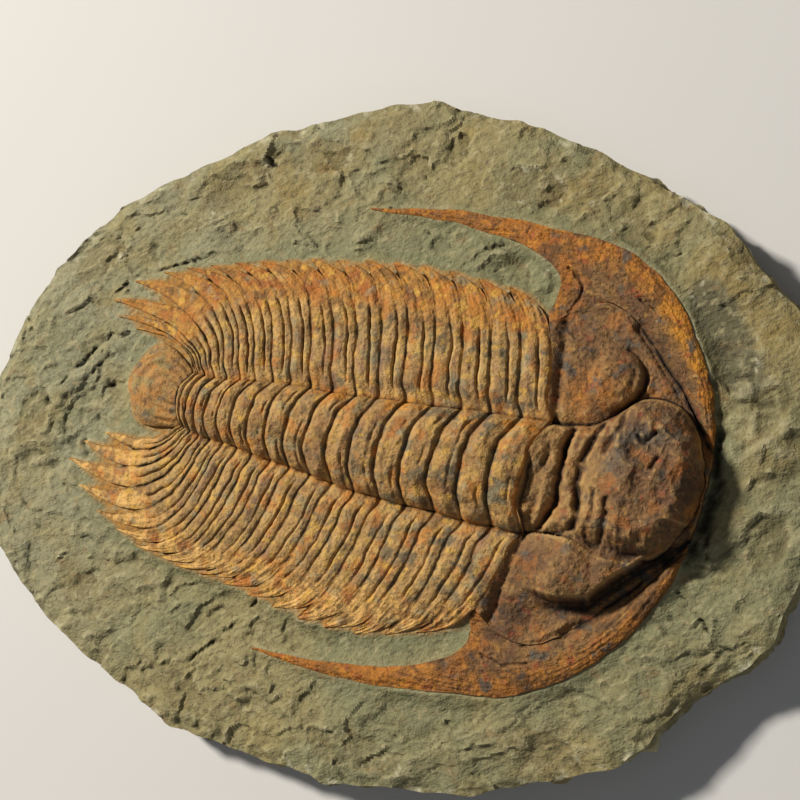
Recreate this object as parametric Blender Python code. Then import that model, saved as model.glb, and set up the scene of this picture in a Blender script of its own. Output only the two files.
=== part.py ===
"""A large acadoparadoxides trilobite, still fixed to its oval slab of siltstone.

The animal's hard plates are separate solids, as they were in life: the cranidium, two free
cheeks with long genal spines, eighteen thoracic segments and the pygidium. They lie on the flat
bed of one slab of rock. All lengths are millimetres until a mesh is made, which is in metres.

World frame: +X runs from the tail to the head, +Y to the animal's left, +Z up, and the origin
lies on the slab's flat underside. Shell frame: u runs along the body towards the head, and v
across it towards the left.
"""

import math

import bmesh
import bpy
import numpy as np

METRES = 0.001

# Slab of rock
BED_HEIGHT = 32.0
RIM_DROP = 5.0
RIM_SAG = 1.6
WAIST_HEIGHT = 15.0
WAIST_OUTSET = 1.012
FOOT_INSET = 0.955
SIDE_ROUGHNESS = 2.2
SLAB_RINGS = (0.30, 0.52, 0.66, 0.75, 0.82, 0.88, 0.93, 0.97, 1.0)
BED_HALF_LENGTH = 186.0
BED_HALF_WIDTH = 131.0
BED_POWER = 2.4
BED_CENTRE_U = -8.0
# Where the ground starts to fall to the rim and to swell, as shares of the bed's half-size
FALL_SHARES = (1.0, 1.5)
SWELL_SHARES = (1.08, 1.20)
ROUGHNESS_SEED = 18
SHARP_ANGLE = 40.0
# Corners of the chipped rim: bearing from the head axis in degrees, reach from the origin
RIM_CORNERS = (
    (3, 237), (15, 233), (25, 223), (30, 214), (36, 210), (39, 209), (46, 198), (52, 192),
    (61, 186), (71, 181), (75, 180), (84, 178), (90, 181), (98, 178), (104, 175), (114, 175),
    (120, 179), (127, 179), (134, 182), (142, 191), (149, 201), (156, 208), (163, 216), (169, 222),
    (175, 223), (181, 231), (189, 239), (197, 238), (205, 227), (210, 221), (217, 214), (226, 202),
    (232, 196), (238, 191), (244, 191), (249, 185), (255, 181), (262, 179), (269, 177), (273, 181),
    (279, 179), (289, 183), (297, 190), (303, 191), (310, 198), (318, 208), (323, 209), (328, 207),
    (333, 212), (339, 222), (343, 227), (350, 226),
)
# Broad swells and hollows of the rock: x, y, half-breadth, height
SWELLS = (
    (150.0, 118.0, 30.0, 3.4),
    (60.0, 158.0, 34.0, 3.0),
    (-40.0, 158.0, 36.0, 2.2),
    (-130.0, 112.0, 30.0, 2.4),
    (-214.0, 30.0, 24.0, 2.6),
    (-206.0, -60.0, 26.0, 2.0),
    (-110.0, -146.0, 30.0, -3.2),
    (-10.0, -168.0, 34.0, 2.2),
    (100.0, -150.0, 28.0, -2.0),
    (196.0, -52.0, 24.0, 3.2),
    (214.0, 34.0, 22.0, -2.4),
)

# Where the shell lies on the slab
SHELL_X = 12.0
SHELL_Y = -5.0
SKEW = 0.075
LEAN_FROM = 70.0
LEAN_TO = 105.0
TAIL_BEND = 8.0
TAIL_BEND_START = -30.0
TAIL_BEND_LENGTH = 130.0
PLATE_GAP = 0.3
JOINT_GAP = 0.5
EDGE_THICKNESS = 1.3
# Crooked midline of the axial lobe and the glabella: u, v
MIDLINE = (
    (-154.0, 4.5), (-138.0, 5.5), (-118.0, 2.2), (-60.0, 1.5), (-20.0, -1.8), (30.0, -2.8),
    (95.0, -2.5), (132.0, 3.5), (156.0, 2.0),
)
MIDLINE_FADE = 0.5

# Thorax
SEGMENT_COUNT = 18
THORAX_FRONT = 77.5
FIRST_PITCH = 15.9
PITCH_LOSS = 12.2
PITCH_POWER = 1.7
AXIS_HALF_WIDTH = 28.5
AXIS_TAPER = 0.5
AXIS_TAPER_POWER = 1.6
THORAX_LENGTH = 197.0
RING_BOW = 2.0
AXIS_SHARE = 0.28
# Spine tips: place in the row of segments, reach out to the left and right, sweep to the rear
SPINE_TIPS = (
    (0.0, 88.0, 88.0, 29.0), (2.0, 93.0, 96.0, 30.0), (4.0, 95.0, 97.0, 31.5),
    (6.0, 92.5, 91.0, 34.0), (8.0, 88.5, 86.0, 37.5), (10.0, 82.0, 83.5, 42.5),
    (12.0, 73.5, 78.0, 49.5), (13.5, 65.5, 69.0, 57.0), (14.5, 56.5, 59.5, 65.0),
    (15.5, 43.5, 47.5, 69.0), (16.5, 35.5, 36.0, 59.0), (17.5, 31.5, 27.0, 43.0),
    (18.0, 30.0, 23.5, 33.0),
)
SHOULDER_SWEEP = 0.12
SHOULDER_FRONT = 0.85
SHOULDER_REAR = 1.35
SPINE_START = 0.60
SPINE_TIP_SHARE = 0.10
SPINE_TAPER = 1.3
CREST_FRONT = 20.0
CREST_REAR = 11.0
VAULT_FULLNESS = 0.55
FURROW_HEIGHT = 4.6
PLEURA_FRONT = 9.0
PLEURA_REAR = 5.5
RING_GROOVE = 4.2
PLEURA_GROOVE = 2.4
PLEURAL_FURROW = 1.7
PLEURAL_FURROW_BREADTH = 0.13
# Shares of a rib from its groove to its rear lip, and of a pleura from the furrow outwards
GROOVE_END = 0.34
REAR_LIP = 0.10
REAR_LIP_SHARE = 0.25
SHELF_START = 0.10
SHELF_END = 0.30
RIB_FADE = (0.55, 0.85)
SPINE_TIP_HEIGHT = 1.9
AXIS_STATIONS = (0.0, 0.36, 0.72, 1.0)
PLEURA_STATIONS = (0.10, 0.24, 0.40, 0.58, 0.74, 0.88, 1.0)
SUTURE_STATION = 3
RIB_STATIONS = (0.0, 0.16, 0.42, 0.70, 1.0)

# Pygidium
PYGIDIUM_LENGTH = 34.5
PYGIDIUM_SPREAD = 15.0
PYGIDIUM_HEIGHT = 8.5
PYGIDIUM_KEEL = 2.4
PYGIDIUM_KEEL_HALF = 6.0
PYGIDIUM_ROWS = (0.0, 0.12, 0.28, 0.46, 0.64, 0.80, 0.92, 0.985)
PYGIDIUM_COLUMNS = 10

# Head shield
HEAD_CENTRE_U = 66.0
HEAD_LENGTH = 96.0
HEAD_HALF_WIDTH = 118.3
HEAD_LEAN = 2.7
SPINE_BULGE = 4.5
SPINE_TIP_WIDTH = 0.5
SPINE_RIDGE = 0.20
SPINE_MERGE = (20.0, 62.0)
GENAL_TIP_U = -45.0
BORDER_EDGE = 2.0
BORDER_FRONT = 9.0
BORDER_SIDE = 27.0
BORDER_CROWN = 3.0
CHEEK_RISE = 6.5
CHEEK_SLOPE = 24.0
GLABELLA_REAR_HALF = 27.5
GLABELLA_FLARE = 10.5
GLABELLA_WAIST_U = 98.0
GLABELLA_WIDEST_U = 127.0
GLABELLA_NOSE = 26.0
GLABELLA_REAR_HEIGHT = 19.5
GLABELLA_FRONT_HEIGHT = 29.0
GLABELLA_FLOOR = 5.0
GLABELLA_ROUNDING = 2.4
# The least and the most of the cranidium's half-width that the glabella's columns take
GLABELLA_SHARES = (0.45, 0.80)
MOAT_DEPTH = 3.0
MOAT_BREADTH = 4.0
OCCIPITAL_FURROW_U = 93.0
OCCIPITAL_FURROW_DEPTH = 3.4
LATERAL_FURROWS = ((104.0, 2.6), (115.0, 1.6))
FURROW_BREADTH = 2.8
EYE_U = 107.0
EYE_V = 50.0
EYE_RADIUS = 16.0
EYE_RISE = 6.0
REAR_BORDER_RISE = 1.6
REAR_BORDER_U = 69.0
REAR_BORDER_SLANT = 0.16
REAR_BORDER_REACH = 96.0
REAR_FURROW_DEPTH = 1.8
REAR_FURROW_SET = 7.0
# Facial suture of the left side, from the rear margin to the front one: u, v
SUTURE = (
    (74.0, 79.0), (82.0, 84.0), (92.0, 86.5), (101.0, 83.0), (108.0, 77.5), (117.0, 69.5),
    (126.0, 60.0), (134.5, 51.0), (144.5, 37.0), (152.0, 27.0), (157.0, 22.0), (161.0, 18.0),
)
# Inner edge of the left genal spine, from its tip to the rear margin of the cheek: u, v
SPINE_INNER = (
    (-45.0, 118.0), (-22.0, 117.7), (0.0, 116.7), (21.0, 114.0), (39.0, 110.0), (51.0, 105.5),
    (60.0, 100.5), (66.0, 94.0), (66.5, 86.0), (64.5, 79.0),
)
SPINE_ROWS = 4
CHEEK_COLUMNS = (0.0, 0.10, 0.34, 0.58, 0.80, 0.93, 1.0)


def smoothstep(low, high, value):
    """Return 0 below low, 1 above high and a smooth S between them."""
    share = np.clip((value - low) / (high - low), 0.0, 1.0)
    return share * share * (3.0 - 2.0 * share)


def place(u, v, lean=0.0):
    """Turn shell coordinates into world x and y: a slight skew, and a tail that bends left.

    lean moves only what lies far from the midline, to the left.
    """
    bend = TAIL_BEND * (np.maximum(TAIL_BEND_START - u, 0.0) / TAIL_BEND_LENGTH) ** 2
    outer = smoothstep(LEAN_FROM, LEAN_TO, np.abs(v))
    return SHELL_X + u + SKEW * v, SHELL_Y + v + bend + lean * outer


def smooth_read(knots, values, at):
    """Read a smooth cubic curve through the given values; its slopes follow their neighbours."""
    knots = np.asarray(knots, dtype=float)
    values = np.asarray(values, dtype=float)
    slope = np.gradient(values, knots)
    at = np.clip(at, knots[0], knots[-1])
    cell = np.clip(np.searchsorted(knots, at, side="right") - 1, 0, len(knots) - 2)
    step = knots[cell + 1] - knots[cell]
    share = (at - knots[cell]) / step
    rise = values[cell + 1] - values[cell]
    start = slope[cell] * step
    end = slope[cell + 1] * step
    return (values[cell] + share * start + share ** 2 * (3.0 * rise - 2.0 * start - end)
            + share ** 3 * (start + end - 2.0 * rise))


def midline(u):
    """Return v of the crooked midline that the axial lobe and the glabella follow."""
    along, across = np.array(MIDLINE).T
    return smooth_read(along, across, u)


# Thorax


def ring_station(q):
    """Return u of the joint in front of segment number q, which may be a fraction."""
    loss = PITCH_LOSS * (SEGMENT_COUNT - 1) / (PITCH_POWER + 1.0)
    along = np.maximum(q, 0.0) / (SEGMENT_COUNT - 1)
    return THORAX_FRONT - FIRST_PITCH * q + loss * along ** (PITCH_POWER + 1.0)


def axis_half_width(q):
    """Return half the width of the axial lobe, which tapers to the tail."""
    back = np.maximum(THORAX_FRONT - ring_station(q), 0.0) / THORAX_LENGTH
    return AXIS_HALF_WIDTH * (1.0 - AXIS_TAPER * back ** AXIS_TAPER_POWER)


def spine_tip(q, t):
    """Return the reach from the midline and the sweep to the rear of the spine of segment q."""
    station, left, right, sweep = np.array(SPINE_TIPS).T
    reach = np.where(t > 0.0, smooth_read(station, left, q), smooth_read(station, right, q))
    return reach, smooth_read(station, sweep, q)


def thorax_point(q, t):
    """Return u and v of the thorax's flow of ribs.

    q counts segments from the front. t runs from -1 at the right spine's tip to 1 at the left
    one. Across the axial lobe a rib is straight with a slight bow. Beyond it, it follows a
    quadratic curve that leaves the lobe sideways and ends swept back at the tip.
    """
    side = np.sign(t)
    half = axis_half_width(q)
    across = np.clip(np.abs(t) / AXIS_SHARE, 0.0, 1.0)
    out = np.clip((np.abs(t) - AXIS_SHARE) / (1.0 - AXIS_SHARE), 0.0, 1.0)
    tail = (np.maximum(q, 0.0) / SEGMENT_COUNT) ** 2
    shoulder = SHOULDER_FRONT + (SHOULDER_REAR - SHOULDER_FRONT) * tail
    reach, sweep = spine_tip(q, t)
    middle = 2.0 * out * (1.0 - out)
    v = side * (half * across + (reach - half) * (middle * shoulder + out ** 2))
    v = v + midline(ring_station(q)) * (1.0 - smoothstep(0.0, MIDLINE_FADE, out))
    u = ring_station(q) - RING_BOW * (1.0 - across ** 2)
    u = u - sweep * (middle * SHOULDER_SWEEP + out ** 2)
    return u, v


def thorax_height(q, t, rib):
    """Return the height of the shell above the bed; rib runs 0 to 1 from a joint to the next.

    The axial lobe is a round vault. The pleurae rise from the axial furrow to a low shelf and
    fall to the spine tips. Each rib starts with a groove, and a furrow crosses its pleura aslant.
    """
    across = np.clip(np.abs(t) / AXIS_SHARE, 0.0, 1.0)
    out = np.clip((np.abs(t) - AXIS_SHARE) / (1.0 - AXIS_SHARE), 0.0, 1.0)
    back = q / SEGMENT_COUNT
    on_axis = across < 1.0
    crest = CREST_FRONT + (CREST_REAR - CREST_FRONT) * back ** 1.2
    vault = FURROW_HEIGHT + (crest - FURROW_HEIGHT) * (1.0 - across ** 2) ** VAULT_FULLNESS
    pleura = PLEURA_FRONT + (PLEURA_REAR - PLEURA_FRONT) * back
    shelf = FURROW_HEIGHT + (pleura - FURROW_HEIGHT) * smoothstep(0.0, SHELF_START, out)
    slope = shelf + (SPINE_TIP_HEIGHT - shelf) * smoothstep(SHELF_END, 0.95, out)
    height = np.where(on_axis, vault, slope)
    fade = 1.0 - smoothstep(*RIB_FADE, out)
    groove = np.where(on_axis, RING_GROOVE * (1.0 - 0.4 * back), PLEURA_GROOVE * fade)
    front = 1.0 - smoothstep(0.0, GROOVE_END, rib)
    rear = smoothstep(1.0 - REAR_LIP, 1.0, rib)
    furrow_at = GROOVE_END * (1.0 + out)
    furrow = PLEURAL_FURROW * fade * np.exp(-((rib - furrow_at) / PLEURAL_FURROW_BREADTH) ** 2)
    height = height - groove * (front + REAR_LIP_SHARE * rear) - np.where(on_axis, 0.0, furrow)
    return np.maximum(height, EDGE_THICKNESS)


def lateral_stations():
    """Return the t of every cross-section of a segment, from the right tip to the left one."""
    axis = [AXIS_SHARE * share for share in AXIS_STATIONS]
    pleura = [AXIS_SHARE + (1.0 - AXIS_SHARE) * share for share in PLEURA_STATIONS]
    left = axis + pleura
    return np.array([-t for t in reversed(left[1:])] + left)


def joint_share(number):
    """Return half the open joint between two segments, as a share of a segment's length."""
    return 0.5 * JOINT_GAP / (ring_station(number) - ring_station(number + 1.0))


def segment_grid(number):
    """Return the top of one thoracic segment as a grid of stations by rib points."""
    t = lateral_stations()[:, None]
    gap = joint_share(number)
    rib = gap + (1.0 - 2.0 * gap) * np.array(RIB_STATIONS)[None, :]
    out = np.clip((np.abs(t) - AXIS_SHARE) / (1.0 - AXIS_SHARE), 0.0, 1.0)
    tip = np.clip((out - SPINE_START) / (1.0 - SPINE_START), 0.0, 1.0) ** SPINE_TAPER
    width = 1.0 - (1.0 - SPINE_TIP_SHARE) * tip
    q = number + 0.5 + (rib - 0.5) * width
    u, v = thorax_point(q, t)
    height = thorax_height(q, t, rib + 0.0 * t)
    return u, v, height


# Head shield


def glabella_half_width(u):
    """Return half the width of the glabella: it flares forward to a blunt nose."""
    flare = GLABELLA_FLARE * smoothstep(GLABELLA_WAIST_U, GLABELLA_WIDEST_U, u)
    nose = np.clip((u - GLABELLA_WIDEST_U) / GLABELLA_NOSE, 0.0, 1.0)
    return (GLABELLA_REAR_HALF + flare) * (1.0 - nose ** 1.7) ** 0.8


def outer_margin(u):
    """Return v of the outer margin: an ellipse over the head, a bulging line down the spine."""
    forward = np.clip((u - HEAD_CENTRE_U) / HEAD_LENGTH, 0.0, 1.0)
    along = np.clip((HEAD_CENTRE_U - u) / (HEAD_CENTRE_U - GENAL_TIP_U), 0.0, 1.0)
    ellipse = HEAD_HALF_WIDTH * np.sqrt(1.0 - forward ** 2)
    return ellipse + SPINE_BULGE * np.sin(math.pi * along) + SPINE_TIP_WIDTH * along


def cheek_height(u, across):
    """Return the height of the border, narrow in front and wide at the sides, and the cheek."""
    forward = np.maximum(u - HEAD_CENTRE_U, 0.0) / HEAD_LENGTH
    radius = np.sqrt(forward ** 2 + (across / HEAD_HALF_WIDTH) ** 2)
    inward = (1.0 - radius) * HEAD_LENGTH
    sideways = across / np.maximum(radius * HEAD_HALF_WIDTH, 1.0)
    border = BORDER_FRONT + (BORDER_SIDE - BORDER_FRONT) * sideways ** 2
    share = np.clip(inward / border, 0.0, 1.0)
    rim = BORDER_EDGE + BORDER_CROWN * np.sin(math.pi * share ** 0.8)
    return rim + CHEEK_RISE * smoothstep(0.0, CHEEK_SLOPE, inward - border)


def eye_height(u, across):
    """Return the rise of the eye lobe, a low round mound."""
    away = np.hypot(u - EYE_U, across - EYE_V) / EYE_RADIUS
    return EYE_RISE * (1.0 - np.clip(away, 0.0, 1.0) ** 2.6)


def glabella_height(u, beside):
    """Return the height of the glabella and occipital ring; beside is how far off their midline.

    Its crown climbs from the occipital ring to the frontal lobe and drops at the nose. Both the
    crown line and each cross-section are superellipses, which the furrows cut.
    """
    half = np.maximum(glabella_half_width(u), 0.5)
    climb = smoothstep(OCCIPITAL_FURROW_U, GLABELLA_WIDEST_U, u)
    crown = GLABELLA_REAR_HEIGHT + (GLABELLA_FRONT_HEIGHT - GLABELLA_REAR_HEIGHT) * climb
    nose = np.clip((u - GLABELLA_WIDEST_U) / GLABELLA_NOSE, 0.0, 1.0)
    side = np.clip(beside / half, 0.0, 1.0)
    round_nose = (1.0 - nose ** GLABELLA_ROUNDING) ** 0.6
    round_side = (1.0 - side ** GLABELLA_ROUNDING) ** 0.6
    dome = GLABELLA_FLOOR + (crown - GLABELLA_FLOOR) * round_nose * round_side
    dome = dome - OCCIPITAL_FURROW_DEPTH * np.exp(-((u - OCCIPITAL_FURROW_U) / FURROW_BREADTH) ** 2)
    for furrow_u, depth in LATERAL_FURROWS:
        cut = depth * np.exp(-((u - furrow_u) / FURROW_BREADTH) ** 2)
        dome = dome - cut * smoothstep(0.1, 0.6, side)
    return dome


def rear_border_height(u, across):
    """Return the rise of the low ridge along the rear margin and of the furrow before it."""
    ahead = u - REAR_BORDER_U - REAR_BORDER_SLANT * (LEAN_FROM - across)
    ridge = REAR_BORDER_RISE * np.exp(-(ahead / FURROW_BREADTH) ** 2)
    furrow = REAR_FURROW_DEPTH * np.exp(-((ahead - REAR_FURROW_SET) / FURROW_BREADTH) ** 2)
    return np.where(across < REAR_BORDER_REACH, ridge - furrow, 0.0)


def head_height(u, v):
    """Return the height of the head shield's upper side above the bed."""
    across = np.abs(v)
    beside = np.abs(v - midline(u))
    half = glabella_half_width(u)
    moat = MOAT_DEPTH * np.exp(-(np.maximum(beside - half, 0.0) / MOAT_BREADTH) ** 2)
    cheek = cheek_height(u, across) + eye_height(u, across) - moat
    cheek = np.maximum(cheek, GLABELLA_FLOOR - MOAT_DEPTH / 2.0) + rear_border_height(u, across)
    return np.where(beside < half, glabella_height(u, beside), cheek)


def suture_curve():
    """Return the left facial suture as u and v arrays, starting on the rear margin."""
    rear_t = AXIS_SHARE + (1.0 - AXIS_SHARE) * PLEURA_STATIONS[SUTURE_STATION]
    rear_u, rear_v = thorax_point(-joint_share(0), np.array([rear_t]))
    points = np.array(SUTURE)
    return np.concatenate([rear_u, points[:, 0]]), np.concatenate([rear_v, points[:, 1]])


def front_margin(v):
    """Return u of the head's front margin, an ellipse, at v."""
    return HEAD_CENTRE_U + HEAD_LENGTH * np.sqrt(1.0 - (v / HEAD_HALF_WIDTH) ** 2)


def cranidium_grid():
    """Return the top of the cranidium as rows from the rear margin to the front margin.

    The first row lies along the first segment's front edge, and the bow of each row turns by and
    by into that of the front margin. The columns that start in the axial furrows follow the
    glabella's sides, and those further out share what is left up to the suture.
    """
    suture_u, suture_v = suture_curve()
    stations = lateral_stations()
    t = stations[len(PLEURA_STATIONS) - 1 - SUTURE_STATION:SUTURE_STATION + 1 - len(PLEURA_STATIONS)]
    rear_u, rear_v = thorax_point(-joint_share(0), t)
    level = np.linspace(0.0, 1.0, len(suture_u))[:, None]
    edge = suture_v[:, None] - 0.5 * JOINT_GAP
    straight = edge * rear_v / rear_v[-1]
    front_bow = front_margin(straight) - front_margin(edge)
    u = suture_u[:, None] + (rear_u - rear_u[-1]) * (1.0 - level) ** 2 + front_bow * level
    least, most = GLABELLA_SHARES
    half = np.clip(glabella_half_width(u), least * edge, most * edge)
    inner = np.clip(np.abs(t) / AXIS_SHARE, 0.0, 1.0)
    lobe = axis_half_width(0.0)
    outer = np.clip((np.abs(rear_v) - lobe) / (rear_v[-1] - lobe), 0.0, 1.0) * (inner >= 1.0)
    v = np.sign(t) * (half * inner + (edge - half) * outer) + midline(u) * (1.0 - outer)
    u[0], v[0], u[-1] = rear_u, rear_v, front_margin(v[-1])
    height = np.maximum(head_height(u, v), EDGE_THICKNESS)
    height[-1, :] = EDGE_THICKNESS
    return u, v, height


def cheek_grid():
    """Return the top of the left free cheek as cross-sections from the spine's tip forward."""
    inner = np.array(SPINE_INNER)
    suture_u, suture_v = suture_curve()
    inner_u = np.concatenate([inner[:, 0], suture_u])
    inner_v = np.concatenate([inner[:, 1], suture_v + 0.5 * JOINT_GAP])
    # The outer edge keeps level with the inner one down the spine, then shares out the ellipse
    start_u = inner_u[SPINE_ROWS]
    angle_start = math.asin((start_u - HEAD_CENTRE_U) / HEAD_LENGTH)
    angle_end = math.acos((inner_v[-1] + 2.0 * JOINT_GAP) / HEAD_HALF_WIDTH)
    share = np.arange(1, len(inner_u) - SPINE_ROWS) / (len(inner_u) - SPINE_ROWS - 1)
    angle = angle_start + (angle_end - angle_start) * share
    shared_u = HEAD_CENTRE_U + HEAD_LENGTH * np.sin(angle)
    outer_u = np.concatenate([inner_u[:SPINE_ROWS + 1], shared_u])
    outer_v = outer_margin(outer_u)
    column = np.array(CHEEK_COLUMNS)[None, :]
    u = inner_u[:, None] * (1.0 - column) + outer_u[:, None] * column
    v = inner_v[:, None] * (1.0 - column) + outer_v[:, None] * column
    height = head_height(u, v)
    spine = 1.0 - smoothstep(*SPINE_MERGE, outer_u)[:, None]
    width = np.hypot(outer_u - inner_u, outer_v - inner_v)[:, None]
    ridge = EDGE_THICKNESS + SPINE_RIDGE * width * np.sin(math.pi * column)
    height = height * (1.0 - spine) + ridge * spine
    height = np.maximum(height, EDGE_THICKNESS)
    height[:, -1] = EDGE_THICKNESS
    height[:len(inner), 0] = EDGE_THICKNESS
    return u, v, height


def pygidium_grid():
    """Return the top of the tail shield: a rounded oval with a low axial keel."""
    row = np.array(PYGIDIUM_ROWS)[:, None]
    column = np.linspace(-1.0, 1.0, PYGIDIUM_COLUMNS + 1)[None, :]
    front_u, _ = thorax_point(SEGMENT_COUNT + joint_share(SEGMENT_COUNT - 1), column * AXIS_SHARE)
    u = front_u - PYGIDIUM_LENGTH * row
    spread = axis_half_width(SEGMENT_COUNT) + PYGIDIUM_SPREAD * row ** 0.75
    beside = column * spread * np.sqrt(1.0 - row ** 3.4)
    dome = (1.0 - column ** 2) ** 0.35 * (1.0 - row ** 3) ** 0.7
    keel = np.exp(-((beside / PYGIDIUM_KEEL_HALF) ** 2)) * (1.0 - smoothstep(0.35, 0.75, row))
    height = EDGE_THICKNESS + (PYGIDIUM_HEIGHT - EDGE_THICKNESS) * dome
    return u, beside + midline(u), height + PYGIDIUM_KEEL * keel * dome


# Slab


def rim_columns():
    """Return x and y of the points round the rim: its corners, and a sag between each two."""
    corners = np.array(RIM_CORNERS, dtype=float)
    bearing = np.radians(corners[:, 0])
    x = corners[:, 1] * np.cos(bearing)
    y = corners[:, 1] * np.sin(bearing)
    middle_x = 0.5 * (x + np.roll(x, -1))
    middle_y = 0.5 * (y + np.roll(y, -1))
    middle_reach = np.hypot(middle_x, middle_y)
    sag = 1.0 - RIM_SAG / middle_reach
    column_x = np.column_stack([x, middle_x * sag]).ravel()
    column_y = np.column_stack([y, middle_y * sag]).ravel()
    return column_x, column_y


def rock_height(x, y):
    """Return the height of the slab's upper side: a flat bed, and rolling ground round it."""
    u = x - SHELL_X - BED_CENTRE_U
    v = y - SHELL_Y
    out = (np.abs(u / BED_HALF_LENGTH) ** BED_POWER + np.abs(v / BED_HALF_WIDTH) ** BED_POWER) ** (
        1.0 / BED_POWER)
    clear = smoothstep(*SWELL_SHARES, out)
    height = BED_HEIGHT - RIM_DROP * smoothstep(*FALL_SHARES, out)
    for swell_x, swell_y, breadth, rise in SWELLS:
        near = np.exp(-((x - swell_x) ** 2 + (y - swell_y) ** 2) / breadth ** 2)
        height = height + rise * near * clear
    return height


# Solids


def finish_mesh(name, vertices, faces, finish):
    """Make a closed mesh object in metres with outward faces and its material."""
    mesh = bpy.data.meshes.new(name)
    mesh.from_pydata((np.asarray(vertices) * METRES).tolist(), [], faces)
    shape = bmesh.new()
    shape.from_mesh(mesh)
    bmesh.ops.recalc_face_normals(shape, faces=shape.faces)
    shape.to_mesh(mesh)
    shape.free()
    mesh.materials.append(finish)
    mesh.shade_smooth()
    mesh.set_sharp_from_angle(angle=math.radians(SHARP_ANGLE))
    piece = bpy.data.objects.new(name, mesh)
    bpy.context.scene.collection.objects.link(piece)
    return piece


def grid_border(rows, columns):
    """Return the indices of a grid's outer points in order, once round."""
    index = np.arange(rows * columns).reshape(rows, columns)
    return np.concatenate([index[0, :], index[1:, -1], index[-1, -2::-1], index[-2:0:-1, 0]])


def plate_solid(name, grid, finish, side=1, lean=0.0):
    """Make one plate: its curved top, upright edges and a flat underside just above the bed.

    The grid has rows by columns. side is -1 for the right-hand copy of a left-hand plate.
    """
    u, v, height = grid
    rows, columns = height.shape
    x, y = place(u, side * v, lean)
    floor = BED_HEIGHT + PLATE_GAP
    top = np.stack([x, y, floor + height], axis=-1).reshape(-1, 3)
    border = grid_border(rows, columns)
    base = top[border]
    base[:, 2] = floor
    faces = []
    for row in range(rows - 1):
        for column in range(columns - 1):
            corner = row * columns + column
            faces.append((corner, corner + 1, corner + columns + 1, corner + columns))
    base_at = rows * columns
    count = len(border)
    for step in range(count):
        after = (step + 1) % count
        faces.append((int(border[after]), int(border[step]), base_at + step, base_at + after))
    faces.append(tuple(range(base_at, base_at + count)))
    return finish_mesh(name, np.concatenate([top, base]), faces, finish)


def slab_solid(finish):
    """Make the slab: rings of rolling ground, a rough side and a flat underside."""
    rim_x, rim_y = rim_columns()
    columns = len(rim_x)
    rng = np.random.default_rng(ROUGHNESS_SEED)
    rough = rng.uniform(-SIDE_ROUGHNESS, SIDE_ROUGHNESS, columns)
    reach = np.hypot(rim_x, rim_y)
    rings = [np.array([[0.0, 0.0, BED_HEIGHT]])]
    for share in SLAB_RINGS:
        x, y = share * rim_x, share * rim_y
        rings.append(np.column_stack([x, y, rock_height(x, y)]))
    waist = WAIST_OUTSET + rough / reach
    waist_z = WAIST_HEIGHT + rng.uniform(-SIDE_ROUGHNESS, SIDE_ROUGHNESS, columns)
    rings.append(np.column_stack([rim_x * waist, rim_y * waist, waist_z]))
    foot = FOOT_INSET + np.roll(rough, 3) / reach
    rings.append(np.column_stack([rim_x * foot, rim_y * foot, np.zeros(columns)]))
    vertices = np.concatenate(rings)
    faces = []
    for column in range(columns):
        after = (column + 1) % columns
        faces.append((0, 1 + column, 1 + after))
        for ring in range(len(rings) - 2):
            low = 1 + ring * columns
            high = low + columns
            faces.append((low + column, high + column, high + after, low + after))
    foot_at = 1 + (len(rings) - 2) * columns
    faces.append(tuple(foot_at + column for column in range(columns)))
    return finish_mesh("matrix_slab", vertices, faces, finish)


def stone_finish(name, colour, roughness):
    """Return a Principled material of one colour."""
    finish = bpy.data.materials.new(name)
    finish.use_nodes = True
    shader = finish.node_tree.nodes["Principled BSDF"]
    shader.inputs["Base Color"].default_value = (*colour, 1.0)
    shader.inputs["Roughness"].default_value = roughness
    shader.inputs["Metallic"].default_value = 0.0
    return finish


def clear_scene():
    """Remove what the scene starts with."""
    for thing in list(bpy.data.objects):
        bpy.data.objects.remove(thing, do_unlink=True)


def main():
    """Build the slab and then every plate from head to tail."""
    clear_scene()
    siltstone = stone_finish("siltstone", (0.25, 0.25, 0.16), 0.9)
    head_shell = stone_finish("head_shell", (0.20, 0.10, 0.045), 0.75)
    cheek_shell = stone_finish("cheek_shell", (0.50, 0.19, 0.03), 0.75)
    thorax_shell = stone_finish("thorax_shell", (0.36, 0.19, 0.07), 0.8)
    tail_shell = stone_finish("tail_shell", (0.42, 0.22, 0.08), 0.8)
    slab_solid(siltstone)
    plate_solid("cranidium", cranidium_grid(), head_shell, lean=HEAD_LEAN)
    plate_solid("free_cheek_left", cheek_grid(), cheek_shell, lean=HEAD_LEAN)
    plate_solid("free_cheek_right", cheek_grid(), cheek_shell, side=-1, lean=HEAD_LEAN)
    for number in range(SEGMENT_COUNT):
        name = f"thoracic_segment_{number + 1:02d}"
        plate_solid(name, segment_grid(number), thorax_shell)
    plate_solid("pygidium", pygidium_grid(), tail_shell)


main()
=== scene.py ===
"""Looks of a large acadoparadoxides trilobite that is still fixed on its oval slab of siltstone.

Every surface is worked out with numpy on a grid: the hackly rock as rings round the slab, and
each hard plate of the animal as rows along it and columns across it. All lengths are millimetres
until a mesh is made, which is in metres.

World frame: +X runs from the tail to the head, +Y to the animal's left, +Z up, and the origin
lies on the slab's flat underside. Shell frame: u runs along the body towards the head, and v
across it towards the left. Both are those of the CAD plates that the pieces here stand for.
"""

import logging
import math
from dataclasses import dataclass, field
from enum import Enum

import bpy
import numpy as np
from mathutils import Matrix, Vector


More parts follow.
